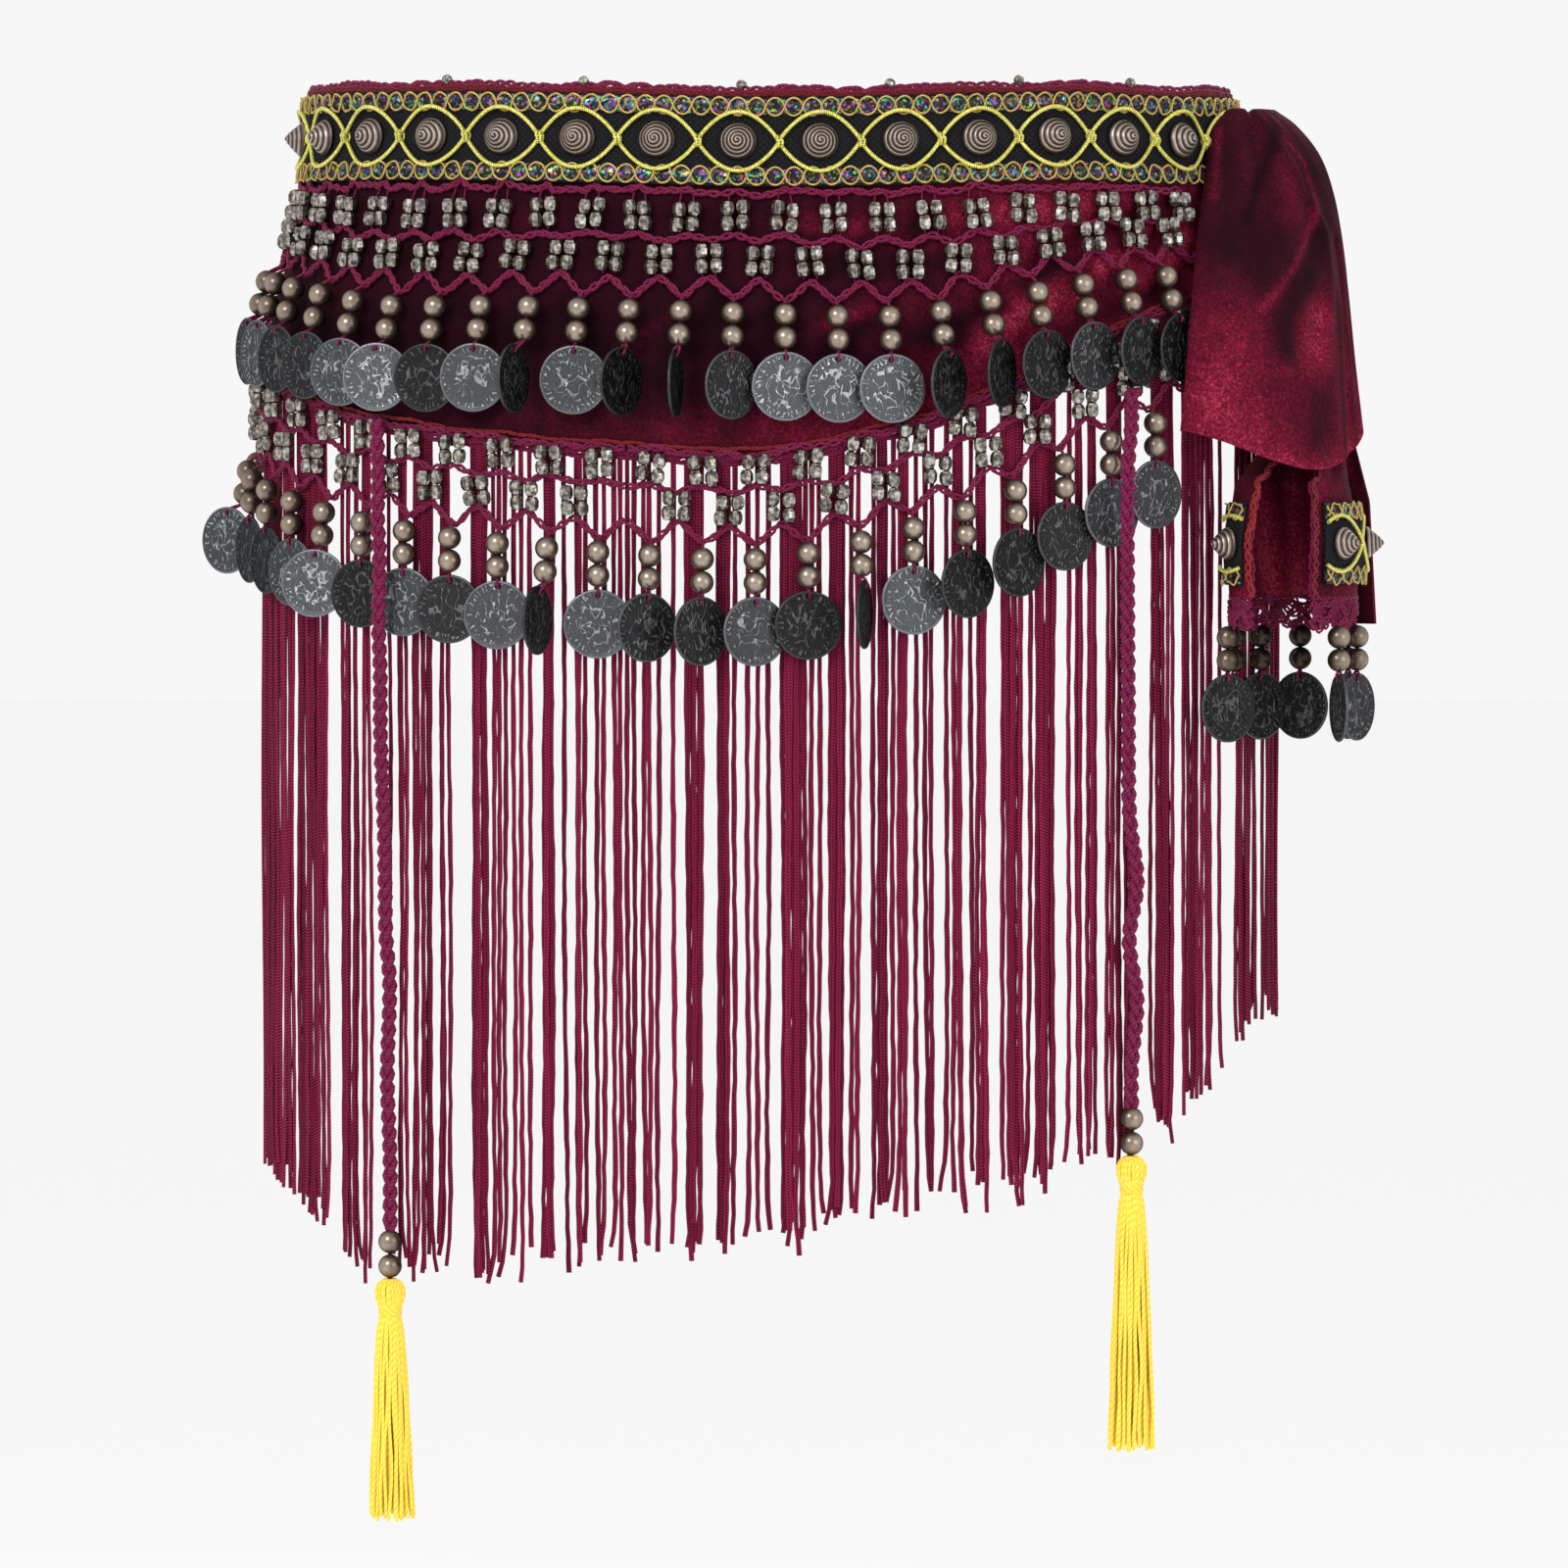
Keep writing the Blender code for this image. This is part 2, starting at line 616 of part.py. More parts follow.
def make_fringe():
    arcs = evenly(*FRINGE_ARCS, STRANDS)
    outer, inner = [], []
    for drop in (0.0, STRIP_HEIGHT):
        heights = [course(arc, "hem") - HEM_TURN - SEAM - drop for arc in arcs]
        outer.append([on_form(a, h, STRIP_OFFS[1]) for a, h in zip(arcs, heights)])
        inner.append([on_form(a, h, STRIP_OFFS[0]) for a, h in zip(arcs, heights)])
    shape = Shape()
    roots = wall(shape, outer, inner, everywhere, hung=lambda column: True)
    for index, root in roots.items():
        arc = (arcs[index] + arcs[index + 1]) / 2
        top = course(arc, "hem") - HEM_TURN - SEAM - STRIP_HEIGHT
        foot = smooth_between(FEET, arc, "height") + STRAND_UNEVEN * math.sin(index * 2.1)
        last = list(root)
        for part in (STRAND_BEND, 1.0):
            height = top + (foot - top) * part
            middle = strand_arc(arc, index, part)
            half = STRAND_WIDTH / 2
            corners = ((middle + half, STRAND_OFFS[1]), (middle - half, STRAND_OFFS[1]),
                       (middle - half, STRAND_OFFS[0]), (middle + half, STRAND_OFFS[0]))
            ring = shape.ring([on_form(a, height, off) for a, off in corners])
            shape.tube(last, ring)
            last = ring
        shape.cap(last)
    shape.make("fringe", "chainette")


def flap_point(row, across, inward):
    left = Vector((row.left_x, row.left_y, 0))
    right = Vector((row.right_x, row.right_y, 0))
    chord = (right - left).normalized()
    out = Vector((chord.y, -chord.x, 0))
    swell = row.bulge * math.sin(math.pi * across) ** 0.8
    crease = FLAP_CREASE * math.exp(-((across - FLAP_CREASE_AT) / FLAP_CREASE_WIDTH) ** 2)
    place = left.lerp(right, across) + out * (swell - crease - inward)
    lowness = max(0.0, row.height / FLAP_LOW) ** 3
    hem = FLAP_HEM_DROP * math.sin(math.pi * across ** 1.4) ** 0.9 * lowness
    return Vector((place.x, place.y, row.height - hem))


def make_flap():
    across = evenly(0.0, 1.0, FLAP_COLUMNS)
    outer = [[flap_point(row, u, 0.0) for u in across] for row in FLAP]
    inner = [[flap_point(row, u, FLAP_THICK) for u in across] for row in FLAP]
    shape = Shape()
    wall(shape, outer, inner, everywhere)
    shape.make("knot_flap", "velvet", smooth=True)


def oval_ring(row, arc, turns, grow=0.0):
    out, along = out_at(arc, row.height), along_at(arc, row.height)
    centre = on_form(arc, row.height, row.off)
    return [centre + along * math.cos(t) * (row.half_along + grow)
            + out * math.sin(t) * (row.half_out + grow) for t in turns]


def make_knot():
    turns = [2 * math.pi * i / KNOT_SIDES for i in range(KNOT_SIDES)]
    shape = Shape()
    rings = [shape.ring(oval_ring(row, KNOT_ARC, turns)) for row in KNOT]
    for upper, lower in zip(rings, rings[1:]):
        shape.tube(upper, lower)
    shape.cap(rings[0])
    shape.cap(rings[-1])
    shape.make("knot", "velvet", smooth=True)


def tail_turns(first, last, count, row=None):
    """Turns round the tail's section, evenly spaced along its wall."""
    row = row or TAIL[-2]
    fine = [math.radians(t) for t in evenly(first, last, ARC_STEPS)]
    reach = [0.0]
    for a, b in zip(fine, fine[1:]):
        speed = math.hypot(row.half_along * math.sin(a), row.half_out * math.cos(a))
        reach.append(reach[-1] + speed * (b - a))
    turns = []
    for wanted in evenly(0.0, reach[-1], count):
        turns.append(fine[min(range(len(fine)), key=lambda i: abs(reach[i] - wanted))])
    return turns


def tail_row_at(height):
    """Tail section at any height, between the rows of its table."""
    below = next(i for i, row in enumerate(TAIL) if row.height <= height or row is TAIL[-1])
    high, low = TAIL[max(below - 1, 0)], TAIL[below]
    if high is low:
        return low
    part = (high.height - height) / (high.height - low.height)
    mixed = [a + (b - a) * part for a, b in zip(high[1:], low[1:])]
    return TailRow(height, *mixed)


def make_tail():
    turns = tail_turns(TAIL_OPEN_TO, 360.0 + TAIL_OPEN_FROM, TAIL_COLUMNS)
    outer = [oval_ring(row, row.arc, turns) for row in TAIL]
    inner = [oval_ring(row, row.arc, turns, -TAIL_THICK) for row in TAIL]
    shape = Shape()
    wall(shape, outer, inner, everywhere)
    shape.make("tail_tube", "velvet", smooth=True)


def make_tail_patches():
    low = PATCH_GAP
    for patch in PATCHES:
        turns = tail_turns(patch.turn_from, patch.turn_to, PATCH_COLUMNS)
        heights = (PATCH_HEIGHTS[0], TAIL[-2].height, PATCH_HEIGHTS[1])
        rows = [tail_row_at(height) for height in heights]
        outer = [oval_ring(row, row.arc, turns, low + TRIM_THICK) for row in rows]
        inner = [oval_ring(row, row.arc, turns, low) for row in rows]
        shape = Shape()
        wall(shape, outer, inner, everywhere)
        shape.make(patch.name, "ribbon")
        make_patch_studs(patch, low + TRIM_THICK)


def make_patch_studs(patch, surface):
    row = TAIL[-2]
    centre = on_form(row.arc, row.height, row.off)
    for i, degrees in enumerate(patch.stud_turns):
        turn = math.radians(degrees)
        middle = oval_ring(row, row.arc, [turn], surface)[0]
        ahead = oval_ring(row, row.arc, [turn + math.radians(3)], surface)[0]
        along = (ahead - middle).normalized()
        out = Vector((along.y, -along.x, 0))
        if out.dot(middle - centre) < 0:
            out = -out
        make_cone(f"{patch.name}_stud_{i}", middle + out * PATCH_STUD_LIFT, out, along,
                  PATCH_STUD_RADIUS, STUD_HEIGHT)


def make_tail_lace():
    """Crochet edge under the tail with its seven danglers."""
    turns = tail_turns(TAIL_OPEN_TO, 360.0 + TAIL_OPEN_FROM, TAIL_LACE_COLUMNS)
    base = TAIL[-1]
    heights = (base.height - SEAM, base.height - SEAM - TAIL_LACE_DROP)
    rows = [base._replace(height=height) for height in heights]
    outer = [oval_ring(row, row.arc, turns) for row in rows]
    inner = [oval_ring(row, row.arc, turns, -LACE_THICK) for row in rows]
    shape = Shape()
    roots = wall(shape, outer, inner, everywhere, hung=lambda column: column % 2 == 1)
    centre = on_form(base.arc, rows[1].height, base.off)
    for root, degrees in zip(roots.values(), TAIL_YAWS):
        middle = sum((shape.points[corner] for corner in root), Vector()) / 4
        along = (shape.points[root[0]] - shape.points[root[1]]).normalized()
        out = Vector((along.y, -along.x, 0))
        if out.dot(middle - centre) < 0:
            out = -out

        def seat(height, off, middle=middle, out=out):
            return Vector((middle.x, middle.y, height)) + out * (off - TAIL_HANG_OFF)

        hang_dangler(shape, root, seat, along, out, math.radians(degrees), BEAD_OFF)
    shape.make("tail_lace", "yarn")


def make_back_strip():
    outer, inner = [], []
    for row in BACK_STRIP:
        near = Vector((row.near_x, row.near_y, row.height))
        far = Vector((row.far_x, row.far_y, row.height))
        chord = (far - near).normalized()
        back = Vector((-chord.y, chord.x, 0))
        line = [near.lerp(far, u) + back * STRIP_BOW * math.sin(math.pi * u)
                for u in evenly(0, 1, STRIP_COLUMNS)]
        outer.append(line)
        inner.append([p + back * TAIL_THICK for p in line])
    shape = Shape()
    wall(shape, outer, inner, everywhere)
    shape.make("tail_back_strip", "velvet", smooth=True)


def smooth_route(points, every):
    """Points at even steps on a smooth curve through the route's own points."""
    fine = []
    for i in range(len(points) - 1):
        p0, p1 = points[max(i - 1, 0)], points[i]
        p2, p3 = points[i + 1], points[min(i + 2, len(points) - 1)]
        for k in range(ROUTE_STEPS):
            u = k / ROUTE_STEPS
            fine.append(0.5 * (2 * p1 + (p2 - p0) * u + (2 * p0 - 5 * p1 + 4 * p2 - p3) * u ** 2
                               + (3 * p1 - p0 - 3 * p2 + p3) * u ** 3))
    fine.append(points[-1])
    lengths = [0.0]
    for a, b in zip(fine, fine[1:]):
        lengths.append(lengths[-1] + (b - a).length)
    count = round(lengths[-1] / every)
    route = []
    for step in range(count + 1):
        reach = lengths[-1] * step / count
        i = max(k for k in range(len(lengths) - 1) if lengths[k] <= reach)
        part = (reach - lengths[i]) / (lengths[i + 1] - lengths[i])
        route.append(fine[i].lerp(fine[i + 1], min(part, 1.0)))
    return route


def make_cord(name, points):
    curve = bpy.data.curves.new(name, "CURVE")
    curve.dimensions = "3D"
    curve.bevel_depth = CORD_DIAMETER / 2 * MM
    curve.bevel_resolution = 2
    curve.use_fill_caps = True
    route = smooth_route(points, CORD_POINT_EVERY)
    spline = curve.splines.new("POLY")
    spline.points.add(len(route) - 1)
    for target, place in zip(spline.points, route):
        target.co = (*(place * MM), 1.0)
    curve.materials.append(finish("yarn"))
    thing = bpy.data.objects.new(name, curve)
    bpy.context.collection.objects.link(thing)


def make_bead(name, centre):
    mesh = bpy.data.meshes.new(name)
    edit = bmesh.new()
    bmesh.ops.create_uvsphere(edit, u_segments=8, v_segments=5,
                              radius=CORD_BEAD_RADIUS * MM)
    bmesh.ops.translate(edit, verts=edit.verts, vec=centre * MM)
    edit.to_mesh(mesh)
    edit.free()
    mesh.shade_smooth()
    mesh.materials.append(finish("copper"))
    bpy.context.collection.objects.link(bpy.data.objects.new(name, mesh))


def polar(centre, radius, height, turn):
    return Vector((centre.x + radius * math.cos(turn), centre.y + radius * math.sin(turn), height))


def make_tassel(name, top, length):
    """Bound head with a ring of locks that hang apart below it."""
    shape = Shape()
    step = 2 * math.pi / TASSEL_LOCKS
    turns = [step * i for i in range(TASSEL_LOCKS)]
    rings = [shape.ring([polar(top, row.radius, top.z - row.drop, t) for t in turns])
             for row in TASSEL_HEAD]
    rim, base = rings[-1], top.z - TASSEL_HEAD[-1].drop
    core = shape.ring([polar(top, TASSEL_CORE, base, t) for t in turns])
    shape.cap(rings[0])
    for upper, lower in zip(rings, rings[1:]):
        shape.tube(upper, lower)
    shape.cap(core)
    for i in range(TASSEL_LOCKS):
        j = (i + 1) % TASSEL_LOCKS
        last = [rim[i], rim[j], core[j], core[i]]
        start, end = turns[i] + LOCK_GAP, turns[i] + step - LOCK_GAP
        foot = top.z - length - LOCK_UNEVEN * math.sin(i * 2.3)
        for row in TASSEL_LOCK:
            height = base + (foot - base) * row.part
            corners = ((row.outside, start), (row.outside, end),
                       (row.inside, end), (row.inside, start))
            ring = shape.ring([polar(top, size, height, turn) for size, turn in corners])
            shape.tube(last, ring)
            last = ring
        shape.cap(last)
    shape.make(name, "silk")


def make_cords():
    for (name, route), length in zip(CORD_ROUTES.items(), TASSEL_LENGTHS):
        points = [on_form(p.arc, p.height, p.off) for p in route]
        make_cord(name, points)
        centre = points[-1] - Vector((0, 0, SEAM + CORD_BEAD_RADIUS))
        for i in range(2):
            make_bead(f"{name}_bead_{i}", centre)
            centre = centre - Vector((0, 0, 2 * CORD_BEAD_RADIUS + SEAM))
        top = centre + Vector((0, 0, CORD_BEAD_RADIUS))
        make_tassel(name.replace("cord", "tassel"), top, length)


def main():
    clear_scene()
    make_velvet_band()
    make_trim_ribbon()
    make_top_edging()
    make_studs()
    make_laces()
    make_fringe()
    make_flap()
    make_knot()
    make_tail()
    make_tail_patches()
    make_tail_lace()
    make_back_strip()
    make_cords()


main()
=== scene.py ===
# %% [markdown]
# # A belly dance hip scarf, dressed
#
# This file is a lesson. It loads the plain solids of a hip scarf and dresses them as the real
# garment is: crushed velvet, a studded trim, crochet lace with beads and coins, a long fringe and
# two tasselled cords. Each step first says what the piece is on the real scarf and how it could be
# made, and then makes it.
#
# Lengths are millimetres in the tables, because that is how a maker measures. The solids are in
# metres, so MM is applied once, where points become a mesh.

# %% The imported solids
import math

import bmesh
import bpy
import numpy as np
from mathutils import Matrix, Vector


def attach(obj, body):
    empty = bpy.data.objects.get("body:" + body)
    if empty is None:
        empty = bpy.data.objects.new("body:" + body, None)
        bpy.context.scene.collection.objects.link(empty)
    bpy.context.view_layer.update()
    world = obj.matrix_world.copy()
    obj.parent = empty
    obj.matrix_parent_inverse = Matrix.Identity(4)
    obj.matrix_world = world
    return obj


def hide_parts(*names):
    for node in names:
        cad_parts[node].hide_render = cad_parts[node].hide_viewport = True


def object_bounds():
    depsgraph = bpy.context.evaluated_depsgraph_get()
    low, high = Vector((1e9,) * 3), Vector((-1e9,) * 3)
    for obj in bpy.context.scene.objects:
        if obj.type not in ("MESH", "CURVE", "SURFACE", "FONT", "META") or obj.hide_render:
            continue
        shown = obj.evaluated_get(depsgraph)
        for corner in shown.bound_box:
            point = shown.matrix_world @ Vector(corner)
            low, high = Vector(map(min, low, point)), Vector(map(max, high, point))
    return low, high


MM = 0.001
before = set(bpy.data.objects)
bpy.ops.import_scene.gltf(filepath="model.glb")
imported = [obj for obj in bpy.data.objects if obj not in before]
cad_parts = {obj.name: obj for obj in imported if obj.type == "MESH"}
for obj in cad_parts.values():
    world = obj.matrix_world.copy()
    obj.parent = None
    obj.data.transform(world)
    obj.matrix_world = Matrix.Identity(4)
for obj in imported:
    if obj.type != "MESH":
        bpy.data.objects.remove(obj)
cad_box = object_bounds()
low, high = cad_box
print("solids", len(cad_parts), "size in mm", [round((b - a) / MM, 1) for a, b in zip(low, high)])

# %% [markdown]
# ## The form of the hips
#
# A hip scarf has no shape of its own: it takes the shape of the hips. Every piece here is placed by
# three numbers, which a dressmaker would recognise: the arc, measured round the body from the middle
# of the front, the height, and how far out from the body it lies. The form is an ellipse in plan
# which widens from the top edge down to the hips. Working on whole arrays of arcs at once keeps the
# script short and quick.

# %% Arc, height and off become a point
BAND_HALF_WIDTH = 157.5
HIP_HALF_WIDTH = 174.5
FLARE_TOP = 5.0
FLARE_DROP = 95.0
DEPTH_RATIO = 0.66
ARC_HALF_WIDTH = 168.0

TURNS = np.linspace(-math.pi, math.pi, 2881)
middles = (TURNS[1:] + TURNS[:-1]) / 2
speeds = ARC_HALF_WIDTH * np.hypot(np.cos(middles), DEPTH_RATIO * np.sin(middles))
ARCS = np.concatenate([[0.0], np.cumsum(speeds * np.diff(TURNS))])
ROUND = ARCS[-1]
ARCS = ARCS - ROUND / 2


def unit(vectors):
    return vectors / np.linalg.norm(vectors, axis=-1, keepdims=True)


def turn_at(arc):
    return np.interp((arc + ROUND / 2) % ROUND - ROUND / 2, ARCS, TURNS)


def half_width(height):
    fall = np.clip((FLARE_TOP - height) / FLARE_DROP, 0, 1)
    return BAND_HALF_WIDTH + (HIP_HALF_WIDTH - BAND_HALF_WIDTH) * (1 - np.cos(math.pi * fall)) / 2


def out_at(arc, height):
    arc, height = np.broadcast_arrays(np.asarray(arc, float), np.asarray(height, float))
    turn, wide = turn_at(arc), half_width(height)
    return unit(np.stack([np.sin(turn) * DEPTH_RATIO, -np.cos(turn), 0 * wide], -1))


def along_at(arc, height):
    out = out_at(arc, height)
    return np.stack([-out[..., 1], out[..., 0], 0 * out[..., 0]], -1)


def on_form(arc, height, off=0.0):
    arc, height, off = np.broadcast_arrays(
        np.asarray(arc, float), np.asarray(height, float), np.asarray(off, float))
    turn, wide = turn_at(arc), half_width(height)
    place = np.stack([wide * np.sin(turn), -wide * DEPTH_RATIO * np.cos(turn), height], -1)
    return place + out_at(arc, height) * off[..., None]


print("round the hips in mm", round(ROUND, 1))

# %% [markdown]
# ## The lines of the garment
#
# Five lines run round the scarf: the middle of the trim, two crochet chains and the hem, and the
# ends of the fringe. None is level. Each is a small table of heights with a smooth curve through
# it, and the curve closes on itself at the back.

# %% Smooth curves through tables of heights
COURSE_ARCS = (-330, -260, -205, -160, -130, -90, -45, 0, 45, 75, 110, 150, 200, 260, 330, 443)
TRIM = (-1, -1, -1, -1.5, -2, -3, -4.3, -5.4, -4.6, -3.6, -2.5, -3, -2, -1, -1, -1)
CHAIN_B = (-27, -27, -28, -34, -36, -36, -37, -38, -39, -36, -32, -30.5, -28, -27, -27, -27)
CHAIN_C = (-45, -44, -44, -49.5, -53.5, -54, -55.5, -57, -57.5, -52, -46, -43, -42, -43, -45, -45)
HEM = (-66, -74, -83, -93, -99, -104.3, -108, -109.5, -99.5, -88.5, -71, -58.5, -56, -60, -63, -65)
FOOT_ARCS = (-235, -205, -180, -162, -147, -110, -73, -27, 5, 30, 69, 107, 138, 156, 180, 215)
FEET = (-350, -356, -360, -370, -385, -384, -382, -376, -371, -363, -357, -348, -335, -324, -306, -300)


def smooth_through(keys, values, period=None):
    """A function of one number whose curve passes smoothly through the table's values."""
    keys, values = np.array(keys, float), np.array(values, float)
    if period:
        keys = np.concatenate([[keys[-1] - period], keys, [keys[0] + period]])
        values = np.concatenate([[values[-1]], values, [values[0]]])
    before = np.maximum(np.arange(len(keys)) - 1, 0)
    after = np.minimum(np.arange(len(keys)) + 1, len(keys) - 1)
    slopes = (values[after] - values[before]) / (keys[after] - keys[before])

    def curve(key):
        key = np.asarray(key, float)
        if period:
            key = keys[1] + (key - keys[1]) % period
        key = np.clip(key, keys[0], keys[-1])
        i = np.clip(np.searchsorted(keys, key, side="right") - 1, 0, len(keys) - 2)
        span = keys[i + 1] - keys[i]
        u = (key - keys[i]) / span
        lean = span * u * (1 - u) * (slopes[i] * (1 - u) - slopes[i + 1] * u)
        return values[i] + (values[i + 1] - values[i]) * u * u * (3 - 2 * u) + lean

    return curve


trim_line = smooth_through(COURSE_ARCS, TRIM, ROUND)
chain_b_line = smooth_through(COURSE_ARCS, CHAIN_B, ROUND)
chain_c_line = smooth_through(COURSE_ARCS, CHAIN_C, ROUND)
hem_line = smooth_through(COURSE_ARCS, HEM, ROUND)
foot_line = smooth_through(FOOT_ARCS, FEET)
print("hem at the middle of the front", round(float(hem_line(0)), 1))

# %% [markdown]
# ## Camera, floor and light
#
# The scarf is photographed from the front at hip height, from far away with a long lens, so that its
# sides hardly narrow. It is worn about a metre above the floor, which is plain and pale. Large area
# lights and a bright sky give the soft, even light of a product studio. Dark edges on metal would
# need a darker surround, so the metals have a dark tint at their edges instead. The places of the
# lights are in metres.

# %% Camera
CAMERA_X = 4.8
CAMERA_Y = -2998.2
CAMERA_Z = -119.5
CAMERA_DOWN = 2.0
FRAME_WIDTH = 545.6
CAMERA_DISTANCE = 3000.0
SENSOR = 36.0
PHOTO_WIDTH = 1600

camera_data = bpy.data.cameras.new("camera")
camera_data.sensor_width = SENSOR
camera_data.lens = SENSOR * CAMERA_DISTANCE / FRAME_WIDTH
camera = bpy.data.objects.new("camera", camera_data)
camera.location = Vector((CAMERA_X, CAMERA_Y, CAMERA_Z)) * MM
camera.rotation_euler = (math.radians(90 - CAMERA_DOWN), 0, 0)
bpy.context.collection.objects.link(camera)
bpy.context.scene.camera = camera
print("lens in mm", round(camera_data.lens, 1))

# %% Floor and lights
FLOOR_HEIGHT = -950.0
FLOOR_HALF = 30000.0
SKY = 0.93
LIGHT_AIM = (0, 0, -0.15)


def area_light(name, place, size, power):
    light = bpy.data.lights.new(name, "AREA")
    light.size = size
    light.energy = power
    thing = bpy.data.objects.new(name, light)
    thing.location = place
    thing.rotation_euler = (Vector(LIGHT_AIM) - Vector(place)).to_track_quat("-Z", "Y").to_euler()
    bpy.context.collection.objects.link(thing)


floor_mesh = bpy.data.meshes.new("floor")
floor_mesh.from_pydata(
    [(x * FLOOR_HALF * MM, y * FLOOR_HALF * MM, FLOOR_HEIGHT * MM)
     for x, y in ((-1, -1), (1, -1), (1, 1), (-1, 1))], [], [(0, 1, 2, 3)])
floor = bpy.data.objects.new("floor", floor_mesh)
bpy.context.collection.objects.link(floor)

sky = bpy.data.worlds.new("sky")
sky.use_nodes = True
sky.node_tree.nodes["Background"].inputs["Color"].default_value = (1, 1, 1, 1)
sky.node_tree.nodes["Background"].inputs["Strength"].default_value = SKY
bpy.context.scene.world = sky
bpy.context.scene.view_settings.view_transform = "Standard"

area_light("key_light", (-1.3, -2.4, 1.3), 1.0, 38)
area_light("fill_light", (1.8, -2.0, 0.3), 1.6, 14)
area_light("back_light", (0.4, 2.4, 1.2), 1.5, 20)

# %% [markdown]
# ## Shader sums written as Python
#
# A material's pattern is a sum: twist plus noise, times a mask. Blender builds such sums from Math
# nodes. Link wraps one output socket, so that + - * / add those nodes by themselves, also when the
# number comes first. Any other node comes from Finish.node, which takes the node's settings and the
# values or links of its sockets.

# %% Link and Finish
class Link:
    """An output socket that can be used in sums."""

    def __init__(self, finish, socket):
        self.finish = finish
        self.socket = socket

    def maths(self, operation, *others):
        return self.finish.node("ShaderNodeMath", {"operation": operation},
                                dict(enumerate((self, *others))))

    def __add__(self, other):
        return self.maths("ADD", other)

    def __sub__(self, other):
        return self.maths("SUBTRACT", other)

    def __mul__(self, other):
        return self.maths("MULTIPLY", other)

    def __truediv__(self, other):
        return self.maths("DIVIDE", other)

    def __pow__(self, other):
        return self.maths("POWER", other)

    def __mod__(self, other):
        return self.maths("FLOORED_MODULO", other)

    def __neg__(self):
        return self * -1

    def __rsub__(self, other):
        return -self + other

    def __rtruediv__(self, other):
        return self ** -1 * other

    def __abs__(self):
        return self.maths("ABSOLUTE")

    __radd__ = __add__
    __rmul__ = __mul__

    def wave(self):
        """0 to 1 and back, once for each whole number."""
        return (self * math.tau).maths("SINE") * 0.5 + 0.5

    def rise(self, start, end):
        """0 below start and 1 above end, with a soft step between."""
        return self.finish.node("ShaderNodeMapRange", {"interpolation_type": "SMOOTHSTEP"},
                                {0: self, 1: start, 2: end})


class Finish:
    """A material, made on the Principled shader that Blender gives it."""

    def __init__(self, name, **constants):
        self.material = bpy.data.materials.new(name)
        self.material.use_nodes = True
        self.nodes = self.material.node_tree.nodes
        self.shader = self.nodes["Principled BSDF"]
        for key, value in constants.items():
            self.join(value, self.shader.inputs[key.replace("_", " ")])

    def join(self, value, socket):
        if isinstance(value, Link):
            self.material.node_tree.links.new(value.socket, socket)
        elif socket.type == "RGBA":
            socket.default_value = (*value, 1.0)
        else:
            socket.default_value = value

    def node(self, kind, settings=None, sockets=None, output=0):
        node = self.nodes.new(kind)
        for key, value in (settings or {}).items():
            if key == "stops":
                for stop, (place, colour) in zip(self.ramp_stops(node, len(value)), value):
                    stop.position, stop.color = place, (*colour, 1.0)
            else:
                setattr(node, key, value)
        for key, value in (sockets or {}).items():
            self.join(value, node.inputs[key])
        return Link(self, node.outputs[output])

    def ramp_stops(self, node, count):
        stops = node.color_ramp.elements
        while len(stops) < count:
            stops.new(1.0)
        return list(stops)

    def ramp(self, value, *stops):
        return self.node("ShaderNodeValToRGB", {"stops": stops}, {0: value})

    def mix(self, part, first, second):
        return self.node("ShaderNodeMix", {"data_type": "RGBA"}, {0: part, 6: first, 7: second}, 2)

    def place(self, stretch=(1, 1, 1)):
        """Where a point is on the garment, in millimetres, stretched along each axis."""
        spot = self.node("ShaderNodeTexCoord", output="Object")
        scale = [part / MM for part in stretch]
        return self.node("ShaderNodeVectorMath", {"operation": "MULTIPLY"}, {0: spot, 1: scale})

    def noise(self, size, detail=2.0, distortion=0.0, stretch=(1, 1, 1)):
        """Cloudy noise whose patches are about that many millimetres across."""
        return self.node("ShaderNodeTexNoise", {}, {
            "Vector": self.place(stretch), "Scale": 1 / size, "Detail": detail,
            "Distortion": distortion})

    def marks(self):
        """The three numbers that each piece's mesh carries at its corners."""
        lie = self.node("ShaderNodeAttribute", {"attribute_name": "lie"}, output="Vector")
        split = self.node("ShaderNodeSeparateXYZ", {}, {0: lie}).socket.node
        return [Link(self, socket) for socket in split.outputs]

    def bump(self, height, depth):
        """Relief of that many millimetres, as a normal."""
        return self.node("ShaderNodeBump", {}, {"Height": height, "Distance": depth * MM})

    def wear(self, **looks):
        for key, value in looks.items():
            self.join(value, self.shader.inputs[key.replace("_", " ")])
        print("finish", self.material.name, "nodes", len(self.nodes))
        return self


floor_finish = Finish("floor_paper", Roughness=0.9)
floor_finish.wear(Base_Color=(0.98, 0.98, 0.98))
floor_mesh.materials.append(floor_finish.material)
